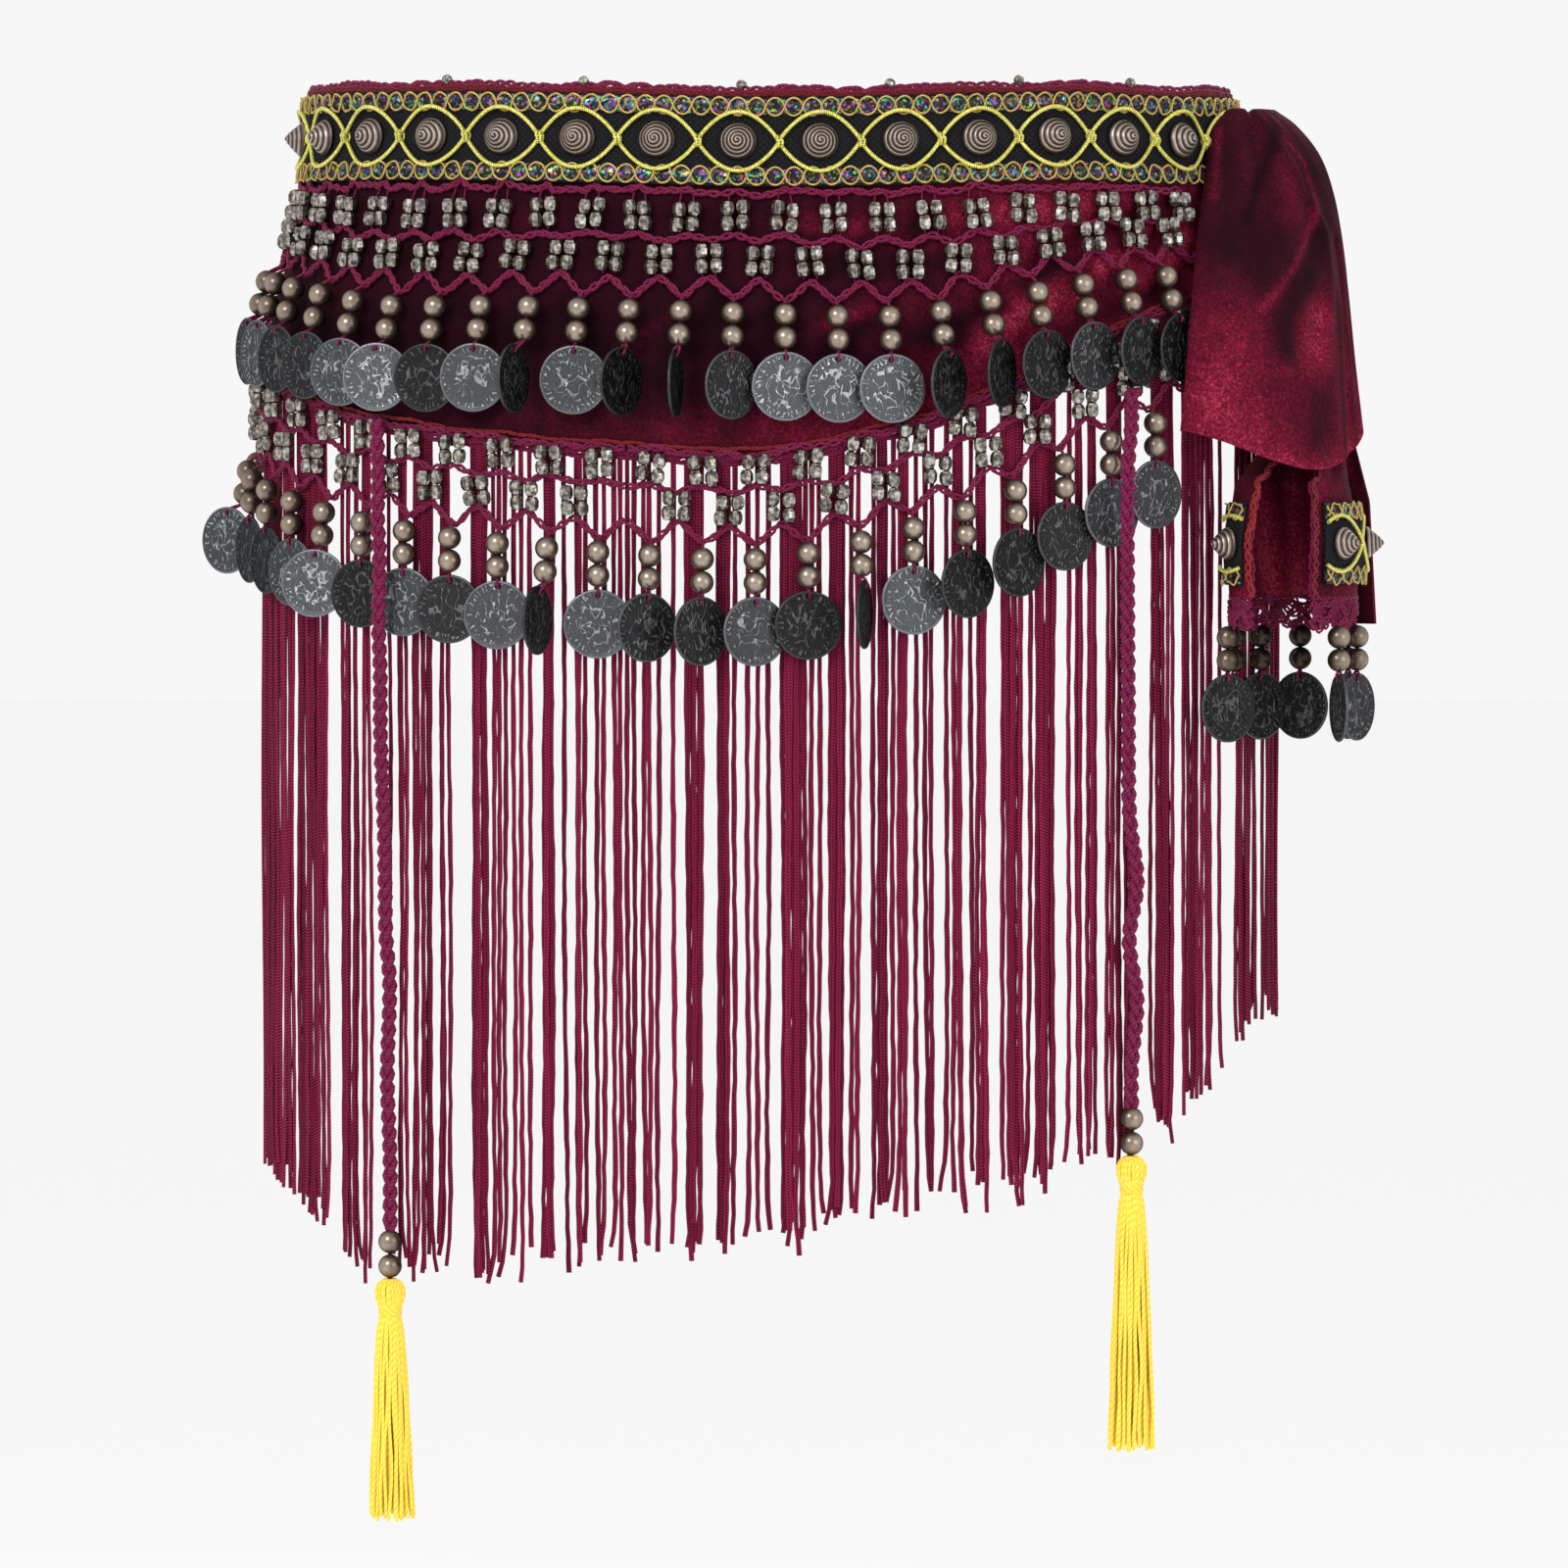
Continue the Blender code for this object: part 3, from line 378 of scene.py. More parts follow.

# %% [markdown]
# ## Velvet
#
# Velvet is a pile of fine hairs. Where they lean towards the viewer it looks almost black, and where
# they lean away it shines crimson. Real hairs would need millions of triangles, and noise alone gives
# blotches that follow no fold. So each velvet mesh carries painted light as its third mark, 0 for
# painted shade and 1 for a bright painted sheen, set along the folds, with painted shade in the
# creases. The finish only adds soft clouds, the grain of the nap and a fine speckle of single tufts
# to it.

# %% Velvet
velvet = Finish("crushed_velvet", Roughness=0.85, Sheen_Weight=0.05, Sheen_Roughness=0.4,
                Sheen_Tint=(0.8, 0.12, 0.22), Specular_IOR_Level=0.08)
# The third mark is painted light: near 0 it gives painted shade, and near 1 a bright painted crimson
# sheen.
painted_sheen_and_shade = velvet.marks()[2]
clouds = velvet.noise(11, 2, 0.4, (1, 1, 0.7))
nap = velvet.noise(1.0, 2)
tufts = velvet.noise(0.8, 1).rise(0.52, 0.72)
shine = painted_sheen_and_shade + (clouds - 0.5) * 0.45 + (nap - 0.5) * (painted_sheen_and_shade * 1.3 + 0.2) + tufts * painted_sheen_and_shade * 0.3
velvet.wear(
    Base_Color=velvet.ramp(shine, (0.0, (0.011, 0.0006, 0.003)), (0.25, (0.026, 0.0012, 0.0065)),
                           (0.5, (0.076, 0.0026, 0.0125)), (0.78, (0.18, 0.0068, 0.029)),
                           (1.0, (0.35, 0.034, 0.065))),
    Normal=velvet.bump(nap * 0.7 + tufts * 0.5, 0.35))

# %% [markdown]
# ## Yarn, chainette and silk
#
# Crochet yarn is twisted from plies, and the chainette of the fringe is a knitted tube whose stitches
# look like a herringbone. Both patterns follow the thread, so they can't come from the place in
# space. Each thread's mesh carries marks instead: how far along it a point lies, how far round it,
# and one number for the whole thread, which shifts its colour a little.

# %% Threads
PLY = 1.3
STITCH = 1.05


def yarn(name, dark, light, twist=PLY, **constants):
    finish = Finish(name, Roughness=0.7, Sheen_Weight=0.06, Sheen_Roughness=0.4,
                    Specular_IOR_Level=0.25, **constants)
    along, around, thread = finish.marks()
    ply = (along / twist + around * 2 + thread).wave()
    fuzz = finish.noise(0.5, 2)
    colour = finish.mix(ply * 0.6 + fuzz * 0.5 - 0.05, dark, light)
    return finish.wear(Base_Color=colour, Normal=finish.bump(ply * 0.7 + fuzz * 0.4, 0.16))


magenta_yarn = yarn("magenta_yarn", (0.035, 0.0008, 0.01), (0.27, 0.0055, 0.07))
orange_yarn = yarn("orange_yarn", (0.09, 0.0035, 0.008), (0.34, 0.022, 0.024))
red_yarn = yarn("red_yarn", (0.06, 0.002, 0.008), (0.21, 0.012, 0.024))
cord_yarn = yarn("cord_yarn", (0.03, 0.0006, 0.01), (0.27, 0.005, 0.08))
yellow_silk = yarn("yellow_silk", (0.84, 0.5, 0.012), (1.0, 0.83, 0.14), 2.4)

chainette = Finish("wine_chainette", Roughness=0.75, Specular_IOR_Level=0.1)
along, around, thread = chainette.marks()
across = (around * math.tau).maths("COSINE")
stitches = (along / STITCH + abs(across) * 0.7 + thread * 7).wave()
rib = abs(across).rise(0.0, 0.3)
bright = stitches * 0.5 * rib + chainette.noise(0.6, 2) * 0.4 + thread * 0.2
chainette.wear(
    Base_Color=chainette.ramp(bright, (0.15, (0.022, 0.0008, 0.005)), (0.5, (0.12, 0.0042, 0.025)),
                              (0.82, (0.38, 0.022, 0.085))),
    Normal=chainette.bump(stitches * rib, 0.3))

# %% [markdown]
# ## Trim: ribbon, gimp, gold thread and glitter
#
# The bought trim is a black grosgrain ribbon. Yellow-green gimp cord is couched on it in ovals, and
# a gold thread makes a chain of small links along each edge over a strip of many-coloured glitter.
# The glitter's cells come from a Voronoi texture, whose random colours are made into hues.

# %% Trim finishes
grosgrain = Finish("black_grosgrain", Roughness=0.85, Specular_IOR_Level=0.15)
along, upward, _ = grosgrain.marks()
rib = (along / 0.8).wave()
twill = (along / 2.6 + upward / 2.2).wave() * (along / 2.6 - upward / 2.2).wave()
grosgrain.wear(
    Base_Color=grosgrain.mix(rib * 0.4 + twill * 0.6, (0.003, 0.003, 0.004), (0.02, 0.02, 0.024)),
    Normal=grosgrain.bump(rib * 0.4 + twill, 0.3))

gimp = Finish("green_gold_gimp", Roughness=0.42, Metallic=0.45, Specular_IOR_Level=0.6)
along, around, _ = gimp.marks()
wrap = (along / 0.75 + around).wave()
flash = gimp.noise(0.45, 1).rise(0.45, 0.65)
gimp.wear(
    Base_Color=gimp.ramp(wrap * 0.5 + flash * 0.5, (0.0, (0.26, 0.2, 0.02)), (0.4, (0.7, 0.66, 0.07)),
                         (1.0, (0.98, 0.98, 0.5))),
    Normal=gimp.bump(wrap, 0.14))

gold_thread = Finish("gold_thread", Roughness=0.4, Metallic=0.45, Specular_IOR_Level=0.6)
along, around, _ = gold_thread.marks()
wrap = (along / 0.6 + around).wave()
gold_thread.wear(
    Base_Color=gold_thread.ramp(wrap * 0.5 + gold_thread.noise(0.6, 1) * 0.5,
                                (0.15, (0.16, 0.09, 0.012)), (0.5, (0.5, 0.34, 0.06)),
                                (0.9, (0.9, 0.74, 0.28))),
    Normal=gold_thread.bump(wrap, 0.1))

glitter = Finish("glitter", Roughness=0.28, Metallic=0.55)
cells = glitter.node("ShaderNodeTexVoronoi", {}, {"Vector": glitter.place(), "Scale": 1 / 0.85},
                     "Color")
cell_split = glitter.node("ShaderNodeSeparateColor", {}, {0: cells}).socket.node
chance, strength, _ = [Link(glitter, socket) for socket in cell_split.outputs]
hue = glitter.node("ShaderNodeCombineColor", {"mode": "HSV"},
                   {0: chance, 1: 0.88, 2: strength ** 4 * 0.6 + 0.01})
glitter.wear(Base_Color=hue, Normal=glitter.bump(strength, 0.4))

# %% [markdown]
# ## Antique metal
#
# The studs, beads and coins are cheap castings with an antique finish: plating that was darkened and
# then worn bright where it stands proud. On the studs and coins the hollows are dark and rough and
# the tops bright and smooth, and both come from one mask of height. The round beads instead carry a
# painted highlight on the side that faces out and painted shade towards their edges. The coins carry
# a plain generic pattern: short rays round the rim, and raised lines inside it that follow the
# contours of a noise, so that it looks struck and worn. Each coin also mixes a lit and a shaded copy
# of its metal, so that some coins take painted shade.

# %% Metals
copper = Finish("antique_copper", Metallic=0.9)
ridge = copper.marks()[0]
worn = ridge * 0.85 + copper.noise(1.2, 3) * 0.25
copper.wear(Base_Color=copper.ramp(worn, (0.1, (0.018, 0.012, 0.01)), (0.5, (0.15, 0.114, 0.1)),
                                   (0.95, (0.42, 0.345, 0.305))),
            Roughness=0.55 - ridge * 0.2, Normal=copper.bump(copper.noise(0.5, 2), 0.05))

pearl_bronze = Finish("pearl_bronze", Metallic=0.8, Specular_Tint=(0.3, 0.25, 0.22))
outward = pearl_bronze.marks()[1]
# Painted highlight on the side of each bead that faces out and painted shade towards its edges, with a
# random tone from the noise.
painted_highlight_and_tone = outward * 0.55 + 0.45 + (pearl_bronze.noise(2.2, 3) - 0.5) * 0.35
pearl_bronze.wear(
    Base_Color=pearl_bronze.ramp(painted_highlight_and_tone, (0.1, (0.046, 0.033, 0.026)), (0.55, (0.112, 0.083, 0.066)),
                                 (0.85, (0.225, 0.176, 0.14)), (1.0, (0.345, 0.28, 0.23))),
    Roughness=0.24 + pearl_bronze.noise(1.5, 2) * 0.1)

cut_steel = Finish("cut_steel", Metallic=0.9, Specular_Tint=(0.35, 0.33, 0.3))
speckle = cut_steel.noise(1.5, 2)
cut_steel.wear(
    Base_Color=cut_steel.ramp(speckle, (0.32, (0.07, 0.06, 0.052)), (0.5, (0.23, 0.21, 0.185)),
                              (0.68, (0.53, 0.5, 0.455))),
    Roughness=0.16 + speckle * 0.15)

gunmetal = Finish("struck_gunmetal", Metallic=0.85, Specular_Tint=(0.5, 0.52, 0.55))
across, upward, coin = gunmetal.marks()
bend = gunmetal.noise(3.1, 1, 0.6, (1, 1, 0.7))
reach = (across * across + upward * upward) ** 0.5
turn = upward.maths("ARCTAN2", across)
rays = (turn * (34 / math.tau) + bend * 2.5 + coin * 5).wave().rise(0.5, 0.85)
rays = rays * gunmetal.noise(1.7, 1).rise(0.4, 0.55)
rim_band = reach.rise(0.7, 0.74) * (1 - reach.rise(0.88, 0.93))
contour = 1 - abs(bend - 0.5).rise(0.012, 0.06)
struck = rays * rim_band + contour * (1 - reach.rise(0.6, 0.68))
rim = reach.rise(0.93, 0.955)
scuff = gunmetal.noise(0.9, 3, 0.6, (1, 1, 0.5)).rise(0.52, 0.68)
hole = 1 - ((across * across + (upward - 0.82) ** 2) ** 0.5).rise(0.06, 0.085)
shine = struck * 0.55 + scuff * 0.12 + struck * scuff * 0.4 + rim * 0.3
# Each coin mixes a lit and a shaded copy of the metal by its third mark: painted shade, standing in for
# a darker surround that turned coins would mirror.
lit_coin = gunmetal.ramp(shine, (0.0, (0.085, 0.089, 0.096)), (0.4, (0.23, 0.24, 0.25)),
                           (1.0, (0.72, 0.74, 0.77)))
shaded_coin = gunmetal.ramp(shine, (0.0, (0.009, 0.009, 0.009)), (1.0, (0.085, 0.084, 0.08)))
coin_colour = gunmetal.mix(coin % 1, lit_coin, shaded_coin)
gunmetal.wear(Base_Color=gunmetal.mix(hole, coin_colour, (0.004, 0.002, 0.003)),
              Roughness=0.44 - shine * 0.16,
              Normal=gunmetal.bump(struck + scuff * 0.3 - hole, 0.35))

# %% [markdown]
# ## From points to pieces
#
# Nearly all of the scarf is thread, and a thread is a tube that follows a path. The rest is cloth,
# which is two sheets of points joined round the edge, and small turned parts such as beads. All
# three are grids of points, so one class gathers grids into a piece and makes its mesh at the end.

# %% The workbench
class Work:
    """Points and faces of one piece, with three marks at each corner of a face."""

    def __init__(self):
        self.points, self.faces, self.marks, self.count = [], [], [], 0

    def grid(self, places, marks, around=False, ends=False):
        """Rows of points; where the grid closes around, marks has one column more than places."""
        rows, columns = places.shape[:2]
        index = self.count + np.arange(rows * columns).reshape(rows, columns)
        self.count += rows * columns
        self.points.append(places.reshape(-1, 3))
        if around:
            index = np.hstack([index, index[:, :1]])
        for table, kept in ((index[..., None], self.faces), (marks, self.marks)):
            corners = np.stack([table[:-1, :-1], table[1:, :-1], table[1:, 1:], table[:-1, 1:]], 2)
            if kept is self.faces:
                kept.extend(corners.reshape(-1, 4).tolist())
            else:
                kept.append(corners.reshape(-1, 3))
        for row in (0, -1) if ends else ():
            self.faces.append(index[row, :columns].tolist())
            self.marks.append(marks[row, :columns])
        return index

    def tube(self, path, out, wide, deep=None, sides=6, thread=0.0):
        """A thread along a path; wide is its half width and deep its half depth, towards out."""
        path = np.asarray(path, float)
        ahead = unit(np.gradient(path, axis=0))
        side = unit(np.cross(ahead, np.broadcast_to(out, path.shape)))
        up = np.cross(side, ahead)
        wide = np.broadcast_to(wide, len(path))
        deep = wide if deep is None else np.broadcast_to(deep, len(path))
        turns = np.arange(sides) / sides * math.tau
        places = (path[:, None] + side[:, None] * (np.cos(turns)[:, None] * wide[:, None, None])
                  + up[:, None] * (np.sin(turns)[:, None] * deep[:, None, None]))
        along, around = np.meshgrid(run(path), np.arange(sides + 1) / sides, indexing="ij")
        self.grid(places, np.stack([along, around, 0 * along + thread], -1), True, True)

    def plait(self, path, out, pitch, spread, rise, thick, sides=5, thread=0.0, uneven=0.0):
        """Three strands plaited along a path, more or less evenly."""
        path = np.asarray(path, float)
        out = np.broadcast_to(out, path.shape)
        side = unit(np.cross(unit(np.gradient(path, axis=0)), out))
        far = run(path)
        path = path + side * (uneven * (np.sin(far / 1.9 + thread) + np.sin(far / 5.3)))[:, None]
        for strand in range(3):
            phase = math.tau * (far / pitch + strand / 3 + uneven * np.sin(far / 13 + strand))
            sway = side * (spread * np.cos(phase))[:, None]
            lift = out * (rise * np.sin(2 * phase))[:, None]
            self.tube(path + sway + lift, out, thick, None, sides, thread + strand / 3)

    def stamp(self, form, centre, axes, mark=None):
        """A small turned part, put at a centre along three axes."""
        places, marks = form
        if mark is not None:
            marks = marks.copy()
            marks[..., 2] = mark
        self.grid(places @ np.array(axes) + centre, marks, True, True)

    def sheet(self, outer, inner, marks):
        """Cloth: down the outer side of each column of points and back up the inner side."""
        rows = len(outer)
        ring = np.concatenate([outer, inner[::-1]]).transpose(1, 0, 2)
        ring_marks = np.concatenate([marks, marks[::-1], marks[:1]]).transpose(1, 0, 2)
        index = self.grid(ring, ring_marks, True)
        for end, end_marks in ((index[0], ring_marks[0]), (index[-1], ring_marks[-1])):
            for j in range(rows - 1):
                corners = [j, j + 1, 2 * rows - 2 - j, 2 * rows - 1 - j]
                self.faces.append([int(end[c]) for c in corners])
                self.marks.append(end_marks[corners])

    def make(self, name, finish, slot, nodes=(), flat=False):
        mesh = bpy.data.meshes.new(name)
        mesh.from_pydata((np.concatenate(self.points) * MM).tolist(), [], self.faces)
        lie = mesh.attributes.new("lie", "FLOAT_VECTOR", "CORNER")
        lie.data.foreach_set("vector", np.concatenate(self.marks).astype(np.float32).ravel())
        edit = bmesh.new()
        edit.from_mesh(mesh)
        bmesh.ops.recalc_face_normals(edit, faces=edit.faces)
        edit.to_mesh(mesh)
        edit.free()
        if not flat:
            mesh.shade_smooth()
            mesh.set_sharp_from_angle(angle=math.radians(60))
        mesh.materials.append(finish.material)
        thing = bpy.data.objects.new(name, mesh)
        bpy.context.collection.objects.link(thing)
        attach(thing, "root")
        if nodes:
            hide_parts(*nodes)
        print(name, "triangles", sum(len(face) - 2 for face in self.faces))
        return thing


def run(path):
    """How far along a path each of its points lies."""
    steps = np.linalg.norm(np.diff(path, axis=0), axis=1)
    return np.concatenate([[0.0], np.cumsum(steps)])


def turned(profile, sides, axis_marks=False):
    """A turned part from (radius, height) pairs, round its own third axis."""
    radius, height = np.array(profile, float).T
    turns = np.arange(sides + 1) / sides * math.tau
    x, y = radius[:, None] * np.cos(turns), radius[:, None] * np.sin(turns)
    z = np.broadcast_to(height[:, None], x.shape)
    reach = radius.max()
    return np.stack([x, y, z], -1)[:, :-1], np.stack([x / reach, y / reach, 0 * x], -1)


def ball(radius, hole, rows, sides):
    """A threaded bead: a ball that is cut flat where its hole is."""
    start = math.asin(hole / radius)
    angles = np.linspace(start, math.pi - start, rows)
    return turned([(radius * math.sin(a), radius * math.cos(a)) for a in angles], sides)


UP = np.array([0.0, 0.0, 1.0])
chance = np.random.default_rng(7)

# %% [markdown]
# ## The two cords
#
# Two cords of crochet yarn are sewn to the hem and hang free in front of the fringe. Each is a
# plait, runs through two beads and ends in the head of a yellow tassel. A cord needs its true
# length, so its route is one smooth curve through points that were read off the garment, and the
# plait is made round that curve.

# %% Cord routes
CORD_STEP = 1.5
CORD_BEAD = 4.0
BEAD_GAP = 0.3
CORD_IN_TASSEL = 20.0
BEAD_HOLE = 0.7
PLAIT_PITCH = 15.0
PLAIT_SPREAD = 1.75
PLAIT_RISE = 0.9
PLAIT_STRAND = 1.05
THIN_IN_BEADS = 0.35
CORD_ROUTES = {
    "cord_left": [
        (-131, -98, 7.2), (-130, -114, 7.8), (-129, -130, 9.5), (-125.5, -146, 13.6),
        (-125, -166, 15), (-126, -184, 12.5), (-129, -205, 8), (-129, -238, 6), (-128.5, -271, 6),
        (-127, -290, 6), (-128, -320, 6), (-127, -347, 6), (-127, -372, 6)],
    "cord_right": [
        (119.5, -88, 7.2), (118, -94, 8.8), (115, -101, 13.8), (113.5, -109, 14.8),
        (113, -122, 15), (114, -138, 13), (117, -158, 8), (118.5, -190, 6), (119, -230, 6),
        (122, -254, 6), (119, -274, 6), (122, -294, 6), (120, -316, 6), (120, -330, 6)],
}


def smooth_route(points, every):
    """Points at even steps on the smooth curve through a route's own points."""
    points = np.asarray(points, float)
    padded = np.concatenate([points[:1], points, points[-1:]])
    u = np.linspace(0, 1, 24, endpoint=False)[:, None]
    fine = []
    for p0, p1, p2, p3 in zip(padded, padded[1:], padded[2:], padded[3:]):
        fine.append(0.5 * (2 * p1 + (p2 - p0) * u + (2 * p0 - 5 * p1 + 4 * p2 - p3) * u ** 2
                           + (3 * p1 - p0 - 3 * p2 + p3) * u ** 3))
    fine = np.concatenate([*fine, points[-1:]])
    far = run(fine)
    steps = np.linspace(0, far[-1], round(far[-1] / every) + 1)
    return np.stack([np.interp(steps, far, fine[:, axis]) for axis in range(3)], -1)


# %% [markdown]
# A tassel is a bundle of silk threads, folded over the cord's end and bound. Its head is the fold,
# then comes the binding, and below it the threads hang and spread. Each thread is its own thin tube,
# in three rings, and no two end at the same height.

# %% Plaits, beads and tassels
TASSELS = {"cord_left": 82.0, "cord_right": 100.0}
TASSEL_RINGS = ((1.6, 10), (3.4, 20), (5.0, 30))
NECK_DROP = 13.0
SILK_HALF = 0.62
round_bead = ball(CORD_BEAD, BEAD_HOLE, 13, 20)


def tassel_thread(work, top, length, turn, ring, number):
    """One loop of silk: over the head, in at the binding, and down."""
    sway = chance.uniform(-1, 1, 3)
    foot = length - abs(chance.normal(0, 2.2)) - (5.4 - ring) * 0.4
    drop = np.concatenate([[0.4, 1.6, 3.6, 6.5, 9.0, 11.5, NECK_DROP], np.linspace(16, foot, 15)])
    part = np.clip((drop - NECK_DROP) / (length - NECK_DROP), 0, 1)
    head = np.interp(drop, [0, 1.6, 4, 7, 9.5, 13], [0.25, 0.75, 0.98, 0.9, 0.66, 0.62])
    size = ring * np.where(drop < NECK_DROP, head, 0.62 + 0.75 * part ** 0.5)
    angle = turn + sway[0] * 0.2 * part + 0.05 * np.sin(drop / 6 + sway[1] * 3)
    wave = 0.35 * np.sin(drop / (7 + sway[2]) + number) * part
    path = top + np.stack([size * np.cos(angle) + wave + sway[1] * part,
                           size * np.sin(angle) + wave * 0.5, -drop], -1)
    outward = np.stack([np.cos(angle), np.sin(angle), 0 * angle], -1)
    work.tube(path, outward, SILK_HALF, None, 5, chance.random())


def binding(work, top):
    """Silk wound round the tassel's neck."""
    spin = np.linspace(0, 6 * math.tau, 150)
    drop = 8.2 + 4.0 * spin / spin[-1]
    outward = np.stack([np.cos(spin), np.sin(spin), 0 * spin], -1)
    work.tube(top + outward * 3.7 - UP * drop[:, None], outward, 0.42, None, 5, 0.5)


for name, route in CORD_ROUTES.items():
    side = name.split("_")[1]
    points = smooth_route(on_form(*np.array(route, float).T), CORD_STEP)
    beads = [points[-1] - UP * (BEAD_GAP + CORD_BEAD)]
    beads.append(beads[0] - UP * (2 * CORD_BEAD + BEAD_GAP))
    tassel_top = beads[1] - UP * (CORD_BEAD + BEAD_GAP)
    end = tassel_top - UP * CORD_IN_TASSEL
    down = np.linspace(points[-1], end, round(float(points[-1][2] - end[2]) / CORD_STEP) + 1)
    line = np.concatenate([points, down[1:]])

    plaited = Work()
    thin = np.where(line[:, 2] < points[-1][2] - 1, THIN_IN_BEADS, 1.0)
    start_arc = float(route[0][0])
    sideways, facing = along_at(start_arc, 0), out_at(start_arc, 0)
    for strand in range(3):
        phase = math.tau * (run(line) / PLAIT_PITCH + strand / 3)
        across = sideways * (PLAIT_SPREAD * thin * np.cos(phase))[:, None]
        lift = facing * (PLAIT_RISE * thin * np.sin(2 * phase))[:, None]
        plaited.tube(line + across + lift, facing, PLAIT_STRAND * thin, None, 8, strand / 3)
    braid = plaited.make(f"{name}_plait", cord_yarn, "yarn", [name])

    threaded = Work()
    for centre in beads:
        threaded.stamp(round_bead, centre, (sideways, facing, UP))
    bead_pair = threaded.make(f"{name}_beads", pearl_bronze, "copper",
                              [f"{name}_bead_0", f"{name}_bead_1"])

    silk = Work()
    length = TASSELS[name]
    for ring, count in TASSEL_RINGS:
        for i in range(count):
            tassel_thread(silk, tassel_top, length, math.tau * (i + ring / 7) / count, ring, i)
    binding(silk, tassel_top)
    tassel = silk.make(f"tassel_{side}_silk", yellow_silk, "silk", [f"tassel_{side}"])

    print(name, "length in mm", round(float(run(line)[-1])))

# %% [markdown]
# ## The velvet band
#
# The band is one long strip of velvet, wrapped round the hips with its join under the knot. It is
# pulled towards the knot, so folds fan out from there, and small creases hang between the chains.
# A simulation would spread such folds evenly. Here each crease is a short line with its own width
# and depth, as it is seen on the garment, and the cloth dips along it.

# %% Creases and the velvet band
VELVET_THICK = 2.0
VELVET_SEAM = 200.0
SEAM_GAP = 0.3
ABOVE_TRIM = 15.4
HEM_ALLOWANCE = 2.0
BAND_COLUMNS = 430
BAND_ROWS = 46
BAND_CREASES = [
    ([(-168, -62), (-150, -76)], 5, 1.5), ([(-140, -70), (-96, -88)], 5, 1.6),
    ([(-108, -60), (-84, -74)], 4, 1.2), ([(-70, -62), (-98, -98)], 5, 1.7),
    ([(-60, -68), (-42, -92)], 4, 1.3), ([(-14, -58), (-34, -86)], 4, 2.0),
    ([(6, -64), (-12, -100)], 5, 1.8), ([(38, -60), (10, -88)], 4, 1.7),
    ([(34, -84), (64, -74)], 4, 1.4), ([(76, -58), (46, -88)], 4.5, 1.8),
    ([(112, -50), (86, -72)], 4, 1.7), ([(150, -34), (116, -56)], 4, 2.0),
    ([(164, -20), (118, -34), (92, -46)], 3.5, 2.2), ([(166, -27), (132, -42)], 3, 2.0),
    ([(160, -44), (128, -62)], 3.5, 1.6), ([(60, -30), (24, -44)], 4, 1.3),
    ([(-20, -28), (-60, -34)], 4, 1.1), ([(-100, -28), (-128, -42)], 4, 1.2),
    ([(-186, -48), (-170, -82)], 6, 1.8), ([(232, -18), (262, -34), (300, -40)], 4, 2.0),
    ([(230, -32), (268, -50)], 4, 1.8), ([(300, -22), (340, -34)], 5, 1.3),
    ([(330, -46), (352, -58)], 4, 1.4), ([(385, -30), (404, -56)], 5, 1.5),
    ([(430, -24), (450, -48)], 5, 1.3), ([(486, -40), (470, -62)], 5, 1.5),
    ([(520, -26), (546, -44)], 5, 1.3), ([(566, -48), (588, -70)], 5, 1.6),
    ([(610, -30), (640, -54)], 5, 1.6),
]
BAND_LINING = 0.3
# Painted sheen round the band, brightest towards the knot, and more painted sheen near the hem at the
# front.
BAND_PAINTED_SHEEN = (-242, -60, 15, 95, 165, 235, 642), (0.12, 0.1, 0.18, 0.58, 0.62, 0.26, 0.12)
HEM_PAINTED_SHEEN = (-150, -60, 10, 80, 110), (0.05, 0.22, 0.3, 0.15, 0.0)
# Painted highlights along the folds and, where the last number is negative, painted shade.
BAND_PAINTED_LIGHT = [
    ([(4, -32), (42, -36)], 5, 0.3), ([(20, -67), (34, -61)], 3, 0.4),
    ([(70, -67), (106, -56)], 5, 0.3), ([(118, -45), (158, -35)], 6, 0.25),
    ([(60, -30), (112, -27)], 4, 0.2), ([(-96, -32), (-40, -33)], 5, 0.12),
    ([(-48, -76), (-30, -62)], 2, 0.3), ([(44, -80), (70, -74)], 4, 0.25),
    ([(-20, -100), (44, -92)], 5, 0.12), ([(-150, -70), (-120, -84)], 5, 0.1),
    ([(-10, -68), (12, -57)], 3, -0.2), ([(48, -71), (78, -60)], 3, -0.3),
    ([(84, -53), (128, -38)], 2.5, -0.3), ([(100, -68), (152, -50)], 3, -0.25),
    ([(20, -48), (64, -46)], 4, -0.2), ([(136, -30), (166, -22)], 2.5, -0.25),
    ([(0, -84), (40, -78)], 4, -0.1), ([(240, -30), (300, -60)], 6, 0.2),
    ([(360, -30), (400, -55)], 7, 0.15), ([(470, -34), (520, -62)], 7, 0.2),
    ([(560, -30), (610, -64)], 7, 0.15),
]


def dips_and_painted_strokes(across, height, creases):
    """How deep the cloth dips at each point from a list of creases, or how much painted light a list of
    strokes adds.
    """
    total = np.zeros(np.broadcast(across, height).shape)
    for line, width, depth in creases:
        nearest = np.full(total.shape, 1e9)
        for (x0, y0), (x1, y1) in zip(line, line[1:]):
            dx, dy = x1 - x0, y1 - y0
            part = np.clip(((across - x0) * dx + (height - y0) * dy) / (dx * dx + dy * dy), 0, 1)
            nearest = np.minimum(nearest, np.hypot(across - x0 - part * dx, height - y0 - part * dy))
        total += depth * np.exp(-(nearest / width) ** 2)
    return total


